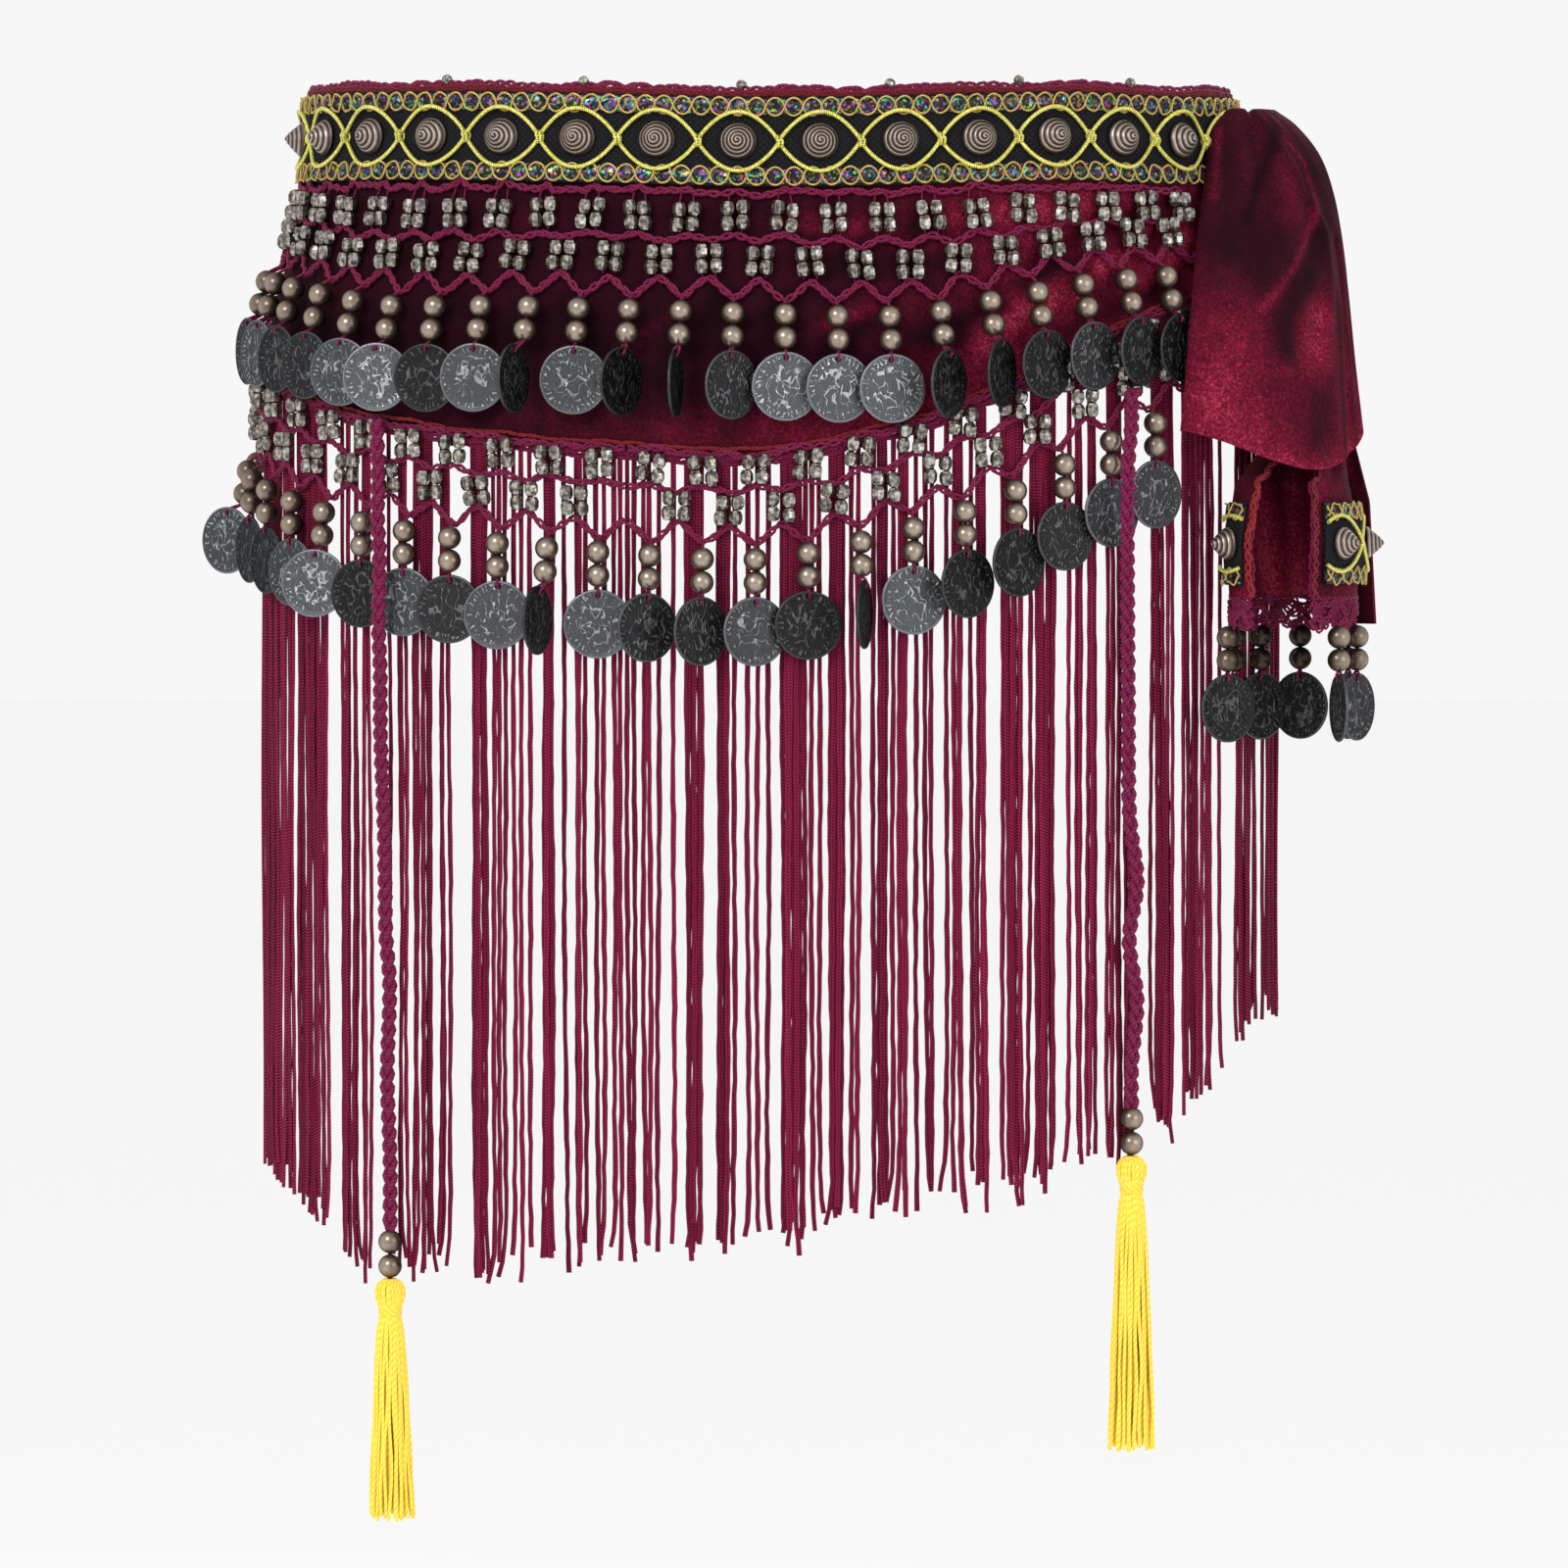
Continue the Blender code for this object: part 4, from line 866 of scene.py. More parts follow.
arc = np.linspace(VELVET_SEAM + SEAM_GAP, VELVET_SEAM - SEAM_GAP + ROUND, BAND_COLUMNS)
down = np.linspace(0, 1, BAND_ROWS)[:, None]
top, hem = trim_line(arc) + ABOVE_TRIM, hem_line(arc) - HEM_ALLOWANCE
height = top + (hem - top) * down
wrapped = np.where(arc > ROUND / 2 + VELVET_SEAM, arc - ROUND, arc)
drape = 0.15 * np.sin(arc / 8.3 + 2 * np.sin(arc / 61)) + 0.15 * np.sin(arc / 5.1 + height / 9)
loose = np.clip((trim_line(arc) - 16 - height) / 12, 0, 1) * np.clip((height - hem) / 8, 0.15, 1)
creased = dips_and_painted_strokes(wrapped, height, BAND_CREASES)
dip = (creased + 0.5 + drape) * loose
near_hem = np.clip((24 - height + hem) / 14, 0, 1)
# Painted light on the band: the painted sheen, the painted strokes, and painted shade in the creases.
painted_sheen_and_shade = (np.interp(wrapped, *BAND_PAINTED_SHEEN) + near_hem * np.interp(wrapped, *HEM_PAINTED_SHEEN)
       + dips_and_painted_strokes(wrapped, height, BAND_PAINTED_LIGHT) - 0.09 * creased * loose)
cloth = Work()
cloth.sheet(on_form(arc, height, VELVET_THICK - dip), on_form(arc, height, BAND_LINING - dip),
            np.stack(np.broadcast_arrays(arc, height, painted_sheen_and_shade), -1))
velvet_cloth = cloth.make("velvet_cloth", velvet, "velvet", ["velvet_band"])
BAND_CUT = (float(ROUND) * MM, float((top - hem).max()) * MM)
BAND_AREA = float(np.mean(top - hem)) * float(ROUND) * MM * MM
print("velvet cut in m", [round(size, 3) for size in BAND_CUT], "area", round(BAND_AREA, 4))

# %% [markdown]
# ## Crochet edging on the top edge
#
# A chain of magenta yarn is crocheted into the top edge, with a red thread below it that holds the
# trim, and a small bead on every few stitches.

# %% Top edging
EDGING_BEAD_ARCS = (-121, -67, -10, 43, 91, 138, *range(250, 660, 46))
SEED_BEAD = 1.8
SEED_HOLE = 0.5
YARN_STEP = 1.3
THREAD_STEP = 0.9


def all_round(step):
    """Arcs at even steps round the band, from its join back to its join."""
    return np.arange(VELVET_SEAM + 1, VELVET_SEAM - 1 + ROUND, step)


edging_arc = all_round(YARN_STEP)
edging_height = trim_line(edging_arc) + ABOVE_TRIM + 0.4 * np.sin(edging_arc / 9.3)
edging_out = out_at(edging_arc, edging_height)
edging = Work()
edging.plait(on_form(edging_arc, edging_height + 2.2, 1.4), edging_out, 9.0, 0.75, 0.35, 0.62, 5, 0,
             0.2)
edging.make("top_edging_chain", magenta_yarn, "yarn", ["top_edging"])

red = Work()
for rise, off in ((0.9, 2.3), (-0.2, 2.5)):
    red.plait(on_form(edging_arc, edging_height + rise, off), edging_out, 8.0, 0.45, 0.25, 0.5, 4, rise,
              0.15)
red.make("top_edging_red", red_yarn, "yarn")

seed_bead = ball(SEED_BEAD, SEED_HOLE, 7, 10)
seeds = Work()
for bead_arc in EDGING_BEAD_ARCS:
    centre = on_form(bead_arc, trim_line(bead_arc) + ABOVE_TRIM + 3.6, 1.4)
    seeds.stamp(seed_bead, centre, (UP, out_at(bead_arc, 0), along_at(bead_arc, 0)))
seeds.make("top_edging_beads", cut_steel, "copper", flat=True)

# %% [markdown]
# ## The trim
#
# The ribbon lies flat on the velvet. Along each of its edges gold thread makes two waves that cross,
# which reads as a row of links, over a low strip of glitter. The gimp does the same at a larger size:
# two cords cross between the studs, where a few wraps tie them, and part round each stud.

# %% Ribbon, glitter, gold links and gimp ovals
TRIM_HALF = 15.0
RIBBON_OFF = 2.3
RIBBON_THICK = 1.2
TRIM_EDGE = 11.6
LINK = 6.5
STUDS_ROUND = 31
STUD_PHASE = 17.5
STUD_PITCH = ROUND / STUDS_ROUND
KNOT_SPAN = (170, 226)


def blunt(wave, power):
    """A wave whose tops are flattened by a power under one."""
    return np.sign(wave) * abs(wave) ** power


def ribbon_piece(name, half, centre_rise, off, thick, dome, finish, nodes=()):
    """A strip round the band, domed across, at a rise from the trim's middle."""
    arc = np.linspace(VELVET_SEAM + SEAM_GAP, VELVET_SEAM - SEAM_GAP + ROUND, 444)
    across = np.linspace(1, -1, 7)[:, None]
    height = trim_line(arc) + centre_rise + across * half
    swell = dome * (1 - across ** 2) * (0.55 + 0.45 * np.cos(arc / LINK * math.tau))
    strip = Work()
    strip.sheet(on_form(arc, height, off + thick + swell), on_form(arc, height, off),
                np.stack(np.broadcast_arrays(arc, height, 0.0), -1))
    return strip.make(name, finish, "ribbon", nodes)


ribbon = ribbon_piece("trim_black_ribbon", TRIM_HALF, 0, RIBBON_OFF, RIBBON_THICK, 0, grosgrain,
                      ["trim_ribbon"])
trim_arc = all_round(THREAD_STEP)
for side, rise in (("upper", TRIM_EDGE), ("lower", -TRIM_EDGE)):
    ribbon_piece(f"trim_glitter_{side}", 2.6, rise, 3.5, 0.3, 1.0, glitter)
    links = Work()
    for thread, phase in enumerate((0.0, 0.5)):
        swing = blunt(np.sin((trim_arc / (2 * LINK) + phase) * math.tau), 0.55)
        height = trim_line(trim_arc) + rise + 3.0 * swing
        off = 4.9 + 0.4 * np.cos((trim_arc / LINK + phase) * math.tau)
        links.tube(on_form(trim_arc, height, off), out_at(trim_arc, height), 0.36, None, 5, thread)
    links.make(f"trim_gold_links_{side}", gold_thread, "ribbon")

ovals = Work()
for thread, phase in enumerate((0.0, 1.0)):
    place = (trim_arc - STUD_PHASE) / STUD_PITCH + 0.5
    swing = blunt(np.sin((place + phase) * math.pi), 0.82)
    height = trim_line(trim_arc) + 9.9 * swing
    off = 4.4 + 1.4 * abs(swing) ** 3 + 0.5 * phase
    ovals.tube(on_form(trim_arc, height, off), out_at(trim_arc, height), 0.72, None, 7, thread)
for i in range(STUDS_ROUND):
    knot_arc = STUD_PHASE + (i + 0.5) * STUD_PITCH
    for shift in (-0.55, 0.75):
        spin = np.linspace(0, math.tau * 1.05, 16)
        ring_arc = knot_arc + shift + 0.5 * spin / math.tau
        ring_height = trim_line(knot_arc) + 1.9 * np.sin(spin)
        ring_off = 4.7 + 1.35 * np.cos(spin)
        ovals.tube(on_form(ring_arc, ring_height, ring_off), along_at(knot_arc, 0), 0.5, None, 5, 0.3)
ovals.make("trim_gimp_ovals", gimp, "ribbon")

# %% [markdown]
# ## Studs
#
# A stud is a low cone with a spiral ridge, like a sea shell. A turned part would have separate rings.
# Here the ridge's phase also runs once round with the angle, so the rings join into one spiral, as
# on the real casting. The mark of each point is its height on the ridge, which the metal finish reads.

# %% Spiral studs
STUD_RADIUS = 6.3
STUD_HEIGHT = 6.0
STUD_RINGS = 5.0


def spiral_stud(radius):
    level, turn = np.meshgrid(np.linspace(1, 0.03, 34), np.arange(41) / 40 * math.tau, indexing="ij")
    ridge = np.cos((level * STUD_RINGS + turn / math.tau) * math.tau) * 0.5 + 0.5
    ridge = ridge * np.clip((1 - level) / 0.06, 0, 1)
    height = STUD_HEIGHT * (1 - level ** 1.35) + ridge * 0.42 + 0.1
    size = radius * level * (1 - 0.02 * ridge)
    top = np.stack([size * np.cos(turn), size * np.sin(turn), height], -1)
    return top[:, :-1], np.stack([ridge, level, 0 * level], -1)


def stud_frame(arc):
    """Base point and axes of a stud that lies flat on the ribbon."""
    middle = trim_line(arc)
    high = on_form(arc, middle + TRIM_HALF, RIBBON_OFF + RIBBON_THICK)
    low = on_form(arc, middle - TRIM_HALF, RIBBON_OFF + RIBBON_THICK)
    along = along_at(arc, middle)
    out = np.cross(along, unit(high - low))
    return (high + low) / 2 + out * SEAM_GAP, (along, np.cross(out, along), out)


stud_form = spiral_stud(STUD_RADIUS)
stud_arcs = [(STUD_PHASE + STUD_PITCH * i + ROUND / 2) % ROUND - ROUND / 2 for i in range(STUDS_ROUND)]
shown = [arc for arc in stud_arcs if not KNOT_SPAN[0] < arc < KNOT_SPAN[1]]
studs = Work()
for arc in shown:
    centre, axes = stud_frame(arc)
    studs.stamp(stud_form, centre, axes)
studs.make("trim_studs", copper, "copper",
                              [f"stud_{i:02d}" for i in range(len(shown))])
print("studs round the band", len(shown))

# %% [markdown]
# ## Crochet lace with beads and coins
#
# Each lace has three chains. Between them hang groups of four small cut beads in two staggered rows,
# and from the low points of the last chain hang two round beads and a coin. The chains rise to the
# groups that they hold and dip between them, so their height is a wave whose pitch is that of the
# lace. The four parts are made together, because a hanging part has to start where its chain dips.

# %% Small parts of the lace
LACE_OFF = 3.2
CHAIN_HALF = 1.6
UPPER_PITCH = ROUND / 53
UPPER_PHASE = 5.0
LOWER_PITCH = 16.6
LOWER_PHASE = -120.7
BELOW_TRIM = 17.3
BEAD_OFF = 6.7
COIN_DROP = 28.6
COIN_RADIUS = 11.6
COIN_HOLE = 0.82
COIN_CLEARANCE = 5.3
BEAD_DROPS = (4.6, 12.4)
HUNG_BEAD = 3.95
CUT_BEAD_OFF = 4.6
CUT_BEAD_ASIDE = 2.4
CUT_BEAD_ROW = 2.54
LOWER_DROPS = (12.0, 29.0)
BACK_COINS = 25
UPPER_YAWS = (20, 15, 12, 5, 6, 15, 28, 8, 12, 84, 10, 64, 86, 44, 9, 12, 8, 46, 48, 20, 17, 20, 12)
LOWER_YAWS = (15, 50, 12, 5, 8, 31, 10, 10, 10, 9, 84, 10, 42, 45, 25, 10, 71, 10, 25, 22, 10, 8, 5)
BACK_YAWS = (30, 10, 52, 12, 9, 66, 20, 11, 40)
# How much painted shade each coin takes, from 0 for the lit copy of the metal to 1 for the shaded copy.
UPPER_COIN_SHADES = (.8, .75, .3, .85, .8, .35, .05, .9, .3, .85, .3, .95, .9, .75, 0, .15, .05, .85,
               .95, .9, .7, .85, .95)
LOWER_COIN_SHADES = (.35, .3, .85, .9, .45, .1, .9, .3, .8, .3, .95, .2, .75, .8, .5, .9, .95, .15, .9,
               .9, .8, .5, .4)
BACK_COIN_SHADES = (.3, .8, .1, .9, .5, .85, .2, .75, .9, .35, .6)
cut_bead = turned([(0.5, 2.5), (1.6, 2.3), (2.3, 1.0), (2.3, -1.0), (1.6, -2.3), (0.5, -2.5)], 7)
hung_bead = ball(HUNG_BEAD, BEAD_HOLE, 12, 18)
coin_form = turned([(0.4, 0.30), (3.5, 0.32), (7.0, 0.30), (9.6, 0.26), (10.3, 0.34), (10.8, 0.52),
                    (11.3, 0.52), (11.6, 0.25), (11.6, -0.25), (11.3, -0.52), (10.8, -0.52),
                    (10.3, -0.34), (7.0, -0.30), (0.4, -0.30)], 40)


def zigzag(place):
    """1 at whole numbers and -1 half way between, with rounded points."""
    return np.arcsin(0.94 * np.cos(place * math.tau)) / math.asin(0.94)


def hang(parts, root, seat, along, out, yaw, coin_off, dark):
    """Thread, two round beads and a coin below one point of the lace."""
    yarn_work, ball_work, coin_work = parts
    yaw = math.radians(yaw)
    places = []
    for drop in (*BEAD_DROPS, COIN_DROP):
        swing = (drop / COIN_DROP) ** 2
        places.append(seat(root[2] - drop, BEAD_OFF + (coin_off - BEAD_OFF) * swing))
    tilt = chance.uniform(-0.06, 0.06)
    side = along * math.cos(yaw) - out * math.sin(yaw)
    face = out * math.cos(yaw) + along * math.sin(yaw)
    lean = unit(UP + side * tilt)
    side = np.cross(lean, face)
    for centre in places[:2]:
        ball_work.stamp(hung_bead, centre, (along, out, UP), dark)
    # The coin's third mark is its share of painted shade.
    coin_work.stamp(coin_form, places[2], (side, lean, face), dark)
    hole = places[2] + lean * COIN_RADIUS * COIN_HOLE
    last_bead = places[1] - UP * 3.4
    yarn_work.tube([root + UP * 0.8, (root + places[0]) / 2 + UP * 2, places[0] + UP * 3.0], out,
                   0.55)
    yarn_work.tube([places[0] - UP * 3.5, places[1] + UP * 3.5], out, 0.5, None, 5)
    for way in (1, -1):
        yarn_work.tube([last_bead, last_bead * 0.35 + hole * 0.65 + face * way * 0.9 + UP * 0.7,
                        hole + face * way * 0.85 + UP * 0.5, hole + face * way * 0.2 - UP * 0.5],
                       side, 0.5, None, 5)


def bead_group(parts, arc, low, high, sink=0.0):
    """Four cut beads in two columns on their threads, between two heights."""
    yarn_work, cut_work = parts
    middle = (low + high) / 2 + chance.uniform(-0.4, 0.4) - sink
    lean = chance.uniform(-0.2, 0.2)
    for column in (-1, 1):
        bead_arc = arc + column * (CUT_BEAD_ASIDE + chance.uniform(0, 0.25))
        slip = chance.uniform(-0.5, 0.5)
        for row in (-1, 1):
            spot = on_form(bead_arc - row * lean * 2,
                           middle + slip + row * CUT_BEAD_ROW + column * lean, CUT_BEAD_OFF)
            out = out_at(bead_arc, middle)
            spin = chance.uniform(0, 1)
            along = along_at(bead_arc, middle) * math.cos(spin) + out * math.sin(spin)
            lift = unit(UP + along_at(bead_arc, middle) * (chance.uniform(-0.12, 0.12) - lean * 0.4))
            side = unit(np.cross(lift, np.cross(along, lift)))
            cut_work.stamp(cut_bead, spot, (side, np.cross(lift, side), lift), chance.random())
        yarn_work.tube(on_form(bead_arc - column * 0.5 * np.array([1, 0, 0, 1]),
                               np.array([high + 0.4, middle + 3.8, middle - 3.8, low - 0.4]),
                               np.array([LACE_OFF, 4.2, 4.2, LACE_OFF])),
                       out_at(arc, middle), 0.28, None, 4)


# %% Upper and lower laces
def settled_off(yaw, least):
    """How far out a turned coin has to hang to clear the cloth behind it."""
    return max(least, COIN_CLEARANCE + COIN_RADIUS * math.sin(math.radians(yaw)))


def lace(name, first, last, phase, pitch, lines, yaws, coin_off, coin_shades, ends=(0.25, 0.25),
         picot=0.0):
    """One lace; lines are its three chains, and repeats run from first to last."""
    top_line, middle_line, low_line = lines
    start, end = phase + pitch * (first - ends[0]), phase + pitch * (last + ends[1])
    arc = np.arange(start, end, 1.1)
    place = (arc - phase) / pitch
    peaks = picot * np.clip(abs((place + 0.5) % 1 - 0.5) * -6 + 1, 0, 1) * np.where(arc < -60, 2.2, 0.9)
    heights = (top_line(arc) + 0.4 * np.sin(place * 5.1) + peaks,
               middle_line(arc) + (1.25 + 0.4 * np.sin(arc / 31)) * zigzag(place),
               low_line(arc) + 2.0 - 3.2 * zigzag(place))
    yarn_work, cut_work, ball_work, coin_work = Work(), Work(), Work(), Work()
    for chain, height in enumerate(heights):
        height = height + 0.25 * np.sin(arc / 3.7 + chain) + 0.4 * np.sin(arc / 9.1 + 2 * chain)
        yarn_work.plait(on_form(arc, height, LACE_OFF), out_at(arc, height), 10.5, 0.85, 0.42, 0.56, 5,
                        chain, 0.16)
    for k in range(first, last + 1):
        here = phase + pitch * k
        bead_group((yarn_work, cut_work), here, float(middle_line(here)) + 2.4,
                   float(top_line(here)) - 1.0, picot)
        if k < last:
            half = here + pitch / 2
            bead_group((yarn_work, cut_work), half, float(low_line(half)) + 6.3,
                       float(middle_line(half)) - 2.3)
    for k, yaw, coin_shade in zip(range(first, first + len(yaws)), yaws, coin_shades):
        here = phase + pitch * k
        low = float(low_line(here)) - CHAIN_HALF

        def seat(height, off, here=here):
            return on_form(here, height, off)

        hang((yarn_work, ball_work, coin_work), on_form(here, low, LACE_OFF), seat,
             along_at(here, low), out_at(here, low), yaw, settled_off(yaw, coin_off), coin_shade)
    return [yarn_work.make(f"{name}_crochet", magenta_yarn, "yarn", [name]),
            cut_work.make(f"{name}_cut_beads", cut_steel, "copper", [name], flat=True),
            ball_work.make(f"{name}_round_beads", pearl_bronze, "copper", [name]),
            coin_work.make(f"{name}_coins", gunmetal, "copper", [name])]


def below(line, drop):
    return lambda arc: line(arc) - drop


upper_lines = (below(trim_line, BELOW_TRIM), chain_b_line, chain_c_line)
lower_lines = (hem_line, *(below(hem_line, drop) for drop in LOWER_DROPS))
back_yaws = np.resize(BACK_YAWS, BACK_COINS)
back_coin_shades = np.resize(BACK_COIN_SHADES, BACK_COINS)
lace_pieces = lace("upper_lace_front", -14, 9, UPPER_PHASE, UPPER_PITCH, upper_lines, UPPER_YAWS, 8.0,
                   UPPER_COIN_SHADES, (0.45, 0.25), 1.0)
lace_pieces += lace("upper_lace_back", 14, 38, UPPER_PHASE, UPPER_PITCH, upper_lines, back_yaws, 8.0,
                    back_coin_shades, (0.25, 0.45), 1.0)
lace_pieces += lace("lower_lace_left", -7, 4, LOWER_PHASE, LOWER_PITCH, lower_lines, LOWER_YAWS[:12],
                    7.0, LOWER_COIN_SHADES[:12], (0.25, 0.5))
lace_pieces += lace("lower_lace_right", 5, 16, LOWER_PHASE, LOWER_PITCH, lower_lines,
                    LOWER_YAWS[12:], 7.0, LOWER_COIN_SHADES[12:], (0.45, 0.25))

# %% [markdown]
# The velvet's hem is closed with a row of orange and a row of magenta yarn, which run all the way
# round, also where no lace hangs from it.

# %% Hem edging
hem_arc = all_round(YARN_STEP)
hem_height = hem_line(hem_arc) + 0.3 * np.sin(hem_arc / 6.0)
for name, rise, off, spread, thick, finish in (
        ("hem_orange_thread", 1.7, 2.5, 0.4, 0.34, orange_yarn),
        ("hem_magenta_thread", -1.5, 2.1, 0.65, 0.52, magenta_yarn),
        ("hem_header", -3.1, 1.3, 0.6, 0.5, magenta_yarn)):
    row = Work()
    row.plait(on_form(hem_arc, hem_height + rise, off), out_at(hem_arc, hem_height), 8.0, spread, 0.28,
              thick, 4, rise, 0.15)
    row.make(name, finish, "yarn")

# %% [markdown]
# ## The fringe
#
# The fringe is long chainette, sewn under the front hem. The strands were tangled and have settled
# into clumps, with clear gaps between them. Even spacing would look like a comb, so the table below
# lists the clumps as they are seen from the front, in the photograph's own pixels: where each one
# starts and ends, and how many strands it holds. Each strand then hangs with a slight wave of its
# own and is cut a little shorter or longer than its neighbour.

# %% Strands
CLUMPS = [
    (268, 289, 13), (289, 301, 5), (303, 334, 15), (347.5, 351, 1), (353, 358, 2), (361, 366, 2),
    (369, 378, 3), (395, 398, 1), (406, 415, 3), (421.5, 441.5, 6), (448.5, 458.5, 3),
    (480, 497, 6), (501, 505, 1), (507, 511, 1), (513, 517, 1), (521.5, 525.5, 1), (529.5, 533, 1),
    (538, 542, 1), (554.5, 566, 4), (572, 577, 1), (586, 593, 2), (594.5, 599, 1), (605, 610, 1),
    (614, 618, 1), (624, 628.5, 1), (630, 635, 1), (637.5, 642, 1), (644.5, 649.5, 1),
    (654.5, 658.5, 1), (660, 664, 1), (670, 675, 1), (685, 689, 1), (698, 718, 6), (731, 745, 4),
    (748, 752, 1), (761, 765, 1), (771, 775, 1), (782, 786.5, 1), (796, 818, 7), (820, 824, 1),
    (826, 830.5, 1), (833.5, 837.5, 1), (846, 862, 5), (866.5, 871, 1), (874, 878, 1), (890, 893, 1),
    (895, 905, 3), (909.5, 914, 1), (916.5, 926.5, 3), (932, 937, 1), (942, 945.5, 1), (949, 953, 1),
    (963.5, 968.5, 1), (972, 982, 3), (988.5, 993, 1), (996, 1006, 3), (1021, 1044, 7),
    (1051, 1077, 8), (1089, 1093, 1), (1096.5, 1104, 2), (1110, 1118, 3), (1129, 1144, 5),
    (1147, 1156, 3), (1174.5, 1197, 8), (1205, 1236, 12), (1242, 1247, 1), (1260, 1281, 9),
    (1287, 1299, 5), (1303, 1330, 11),
]
STRAND_HALF = 0.86
STRAND_STEP = 5.0
HEM_DROP = 2.6
FRINGE_ENDS = (-231.0, 211.0)


def arc_seen_at(pixel):
    """The arc on the hips that the camera sees at a pixel column of the picture."""
    turn = 0.0
    for _ in range(12):
        depth = -CAMERA_Y - HIP_HALF_WIDTH * DEPTH_RATIO * math.cos(turn)
        x = CAMERA_X + (pixel - PHOTO_WIDTH / 2) * FRAME_WIDTH / PHOTO_WIDTH * depth / CAMERA_DISTANCE
        turn = math.asin(max(-1.0, min(1.0, x / (HIP_HALF_WIDTH + 1))))
    return float(np.interp(turn, TURNS, ARCS))


def strand(work, arc, layer):
    start = float(hem_line(arc)) - HEM_DROP
    foot = float(foot_line(arc)) + chance.normal(0, 3.5)
    count = round((start - foot) / STRAND_STEP)
    down = np.linspace(0, 1, count + 1)
    length = start - foot
    wave = (0.25 * np.sin(down * length / chance.uniform(24, 40) + chance.uniform(0, 6))
            + 0.11 * np.sin(down * length / chance.uniform(3.4, 5.2) + chance.uniform(0, 6))
            + 0.1 * np.sin(down * length / chance.uniform(1.6, 2.4) + chance.uniform(0, 6)))
    curl = chance.normal(0, 1.0) * np.clip((down - 0.93) / 0.07, 0, 1) ** 2
    drift = chance.normal(0.3, 0.6) * down
    here = arc + wave * np.clip(down * 5, 0, 1) * (0.6 + down * 0.7) + curl + drift
    off = 1.0 + (layer * 0.9 + 0.3 * np.sin(down * 9 + arc)) * np.clip(down * 6 - 0.6, 0, 1)
    wide = STRAND_HALF * (1 + 0.12 * np.sin(down * length / 9 + arc))
    height = start - down * length
    work.tube(on_form(here, height, off), out_at(here, height), wide, 0.62, 6, chance.random())


fringe = Work()
strands = 0
for first, last, count in CLUMPS:
    pixels = np.linspace(first + 2, last - 2, count) if count > 1 else [(first + last) / 2]
    for i, pixel in enumerate(pixels):
        strand(fringe, min(max(arc_seen_at(pixel), FRINGE_ENDS[0]), FRINGE_ENDS[1]), i % 2)
        strands += 1
fringe_piece = fringe.make("fringe_strands", chainette, "chainette", ["fringe"])
print("strands", strands)

# %% [markdown]
# ## The tie at the hip
#
# The two ends of the scarf are knotted at the hip. What shows is a flap, the loop of the tie, which
# hangs over the knot, and below it one end of the scarf, rolled into an open tube. Cloth that is
# tied has few folds, but deep ones, so each is placed one by one as on the band. The flap's top edge
# dips in two places and its lower edge sags, so its points are also moved down there.

# %% Flap
FLAP_ROWS = (
    (9, 155, -37, 174, -20, 3), (4, 152.5, -40.5, 181, -21, 6), (-6, 150.5, -45.5, 189, -23, 8),
    (-18, 149, -51, 193.5, -26, 10), (-34, 146.5, -61.5, 196.5, -30, 12),
    (-54, 144, -78, 198.5, -37, 14), (-78, 142, -85, 200.5, -43, 14), (-102, 139.5, -89, 203, -48, 14))
FLAP_THICK = 2.0
FLAP_COLUMNS = 72
FLAP_LINES = 90
FLAP_WIDTH = 60
FLAP_CREASES = [
    ([(0.36, 2), (0.34, -30), (0.24, -52)], 0.075, 3.2), ([(0.70, -14), (0.62, -42)], 0.05, 1.6),
    ([(0.66, -58), (0.44, -90)], 0.07, 1.5), ([(0.9, -36), (0.87, -104)], 0.03, 1.5),
    ([(0.97, -50), (0.95, -100)], 0.02, 0.9), ([(0.2, -70), (0.34, -104)], 0.06, 1.0),
    ([(0.55, -6), (0.78, -34), (0.72, -62)], 0.045, -1.6), ([(0.1, 0), (0.06, -60)], 0.06, -0.8)]
# Painted highlights on the flap and, where the last number is negative, painted shade.
FLAP_PAINTED_LIGHT = [
    ([(0.57, 3), (0.41, -9), (0.3, -20), (0.23, -30)], 2.2, -0.3),
    ([(0.63, -2), (0.73, -10), (0.75, -23), (0.7, -30), (0.53, -42), (0.29, -59)], 1.6, 0.32),
    ([(0.79, -30), (0.605, -45), (0.43, -61), (0.42, -70)], 4, -0.35),
    ([(0.63, -61), (0.62, -66)], 9, 0.35),
    ([(0.15, -58), (0.13, -90)], 8, 0.16), ([(0.63, -88), (0.61, -92)], 8, -0.3),
    ([(0.31, -38), (0.3, -43)], 11, -0.18), ([(0.9, -14), (0.88, -20)], 10, -0.22),
    ([(0.1, 2), (0.12, -40)], 7, -0.14), ([(0.04, 2), (0.04, -22)], 1.6, 0.3),
    ([(0.836, -58), (0.82, -110)], 1.5, -0.3), ([(0.94, -70), (0.92, -101)], 1.3, -0.25),
    ([(0.5, -10), (0.62, -30)], 5, 0.12), ([(0.3, -104), (1.0, -104)], 5, 0.12)]


def heights(rows, count):
    """Heights from the first row of a table to its last, as a column."""
    return np.linspace(rows[0][0], rows[-1][0], count)[:, None]


def read_rows(rows, height, smooth=False):
    """The other columns of a table at a height, straight or smooth between its rows."""
    keys, *columns = np.array(rows, float).T[:, ::-1]
    if smooth:
        return [smooth_through(keys, column)(height) for column in columns]
    return [np.interp(height, keys, column) for column in columns]


def widened(lines, stretch=1.0):
    """Lines whose first number is a share of the flap's width, in its own millimetres."""
    return [([(x * FLAP_WIDTH, y) for x, y in line], width * stretch, depth)
            for line, width, depth in lines]


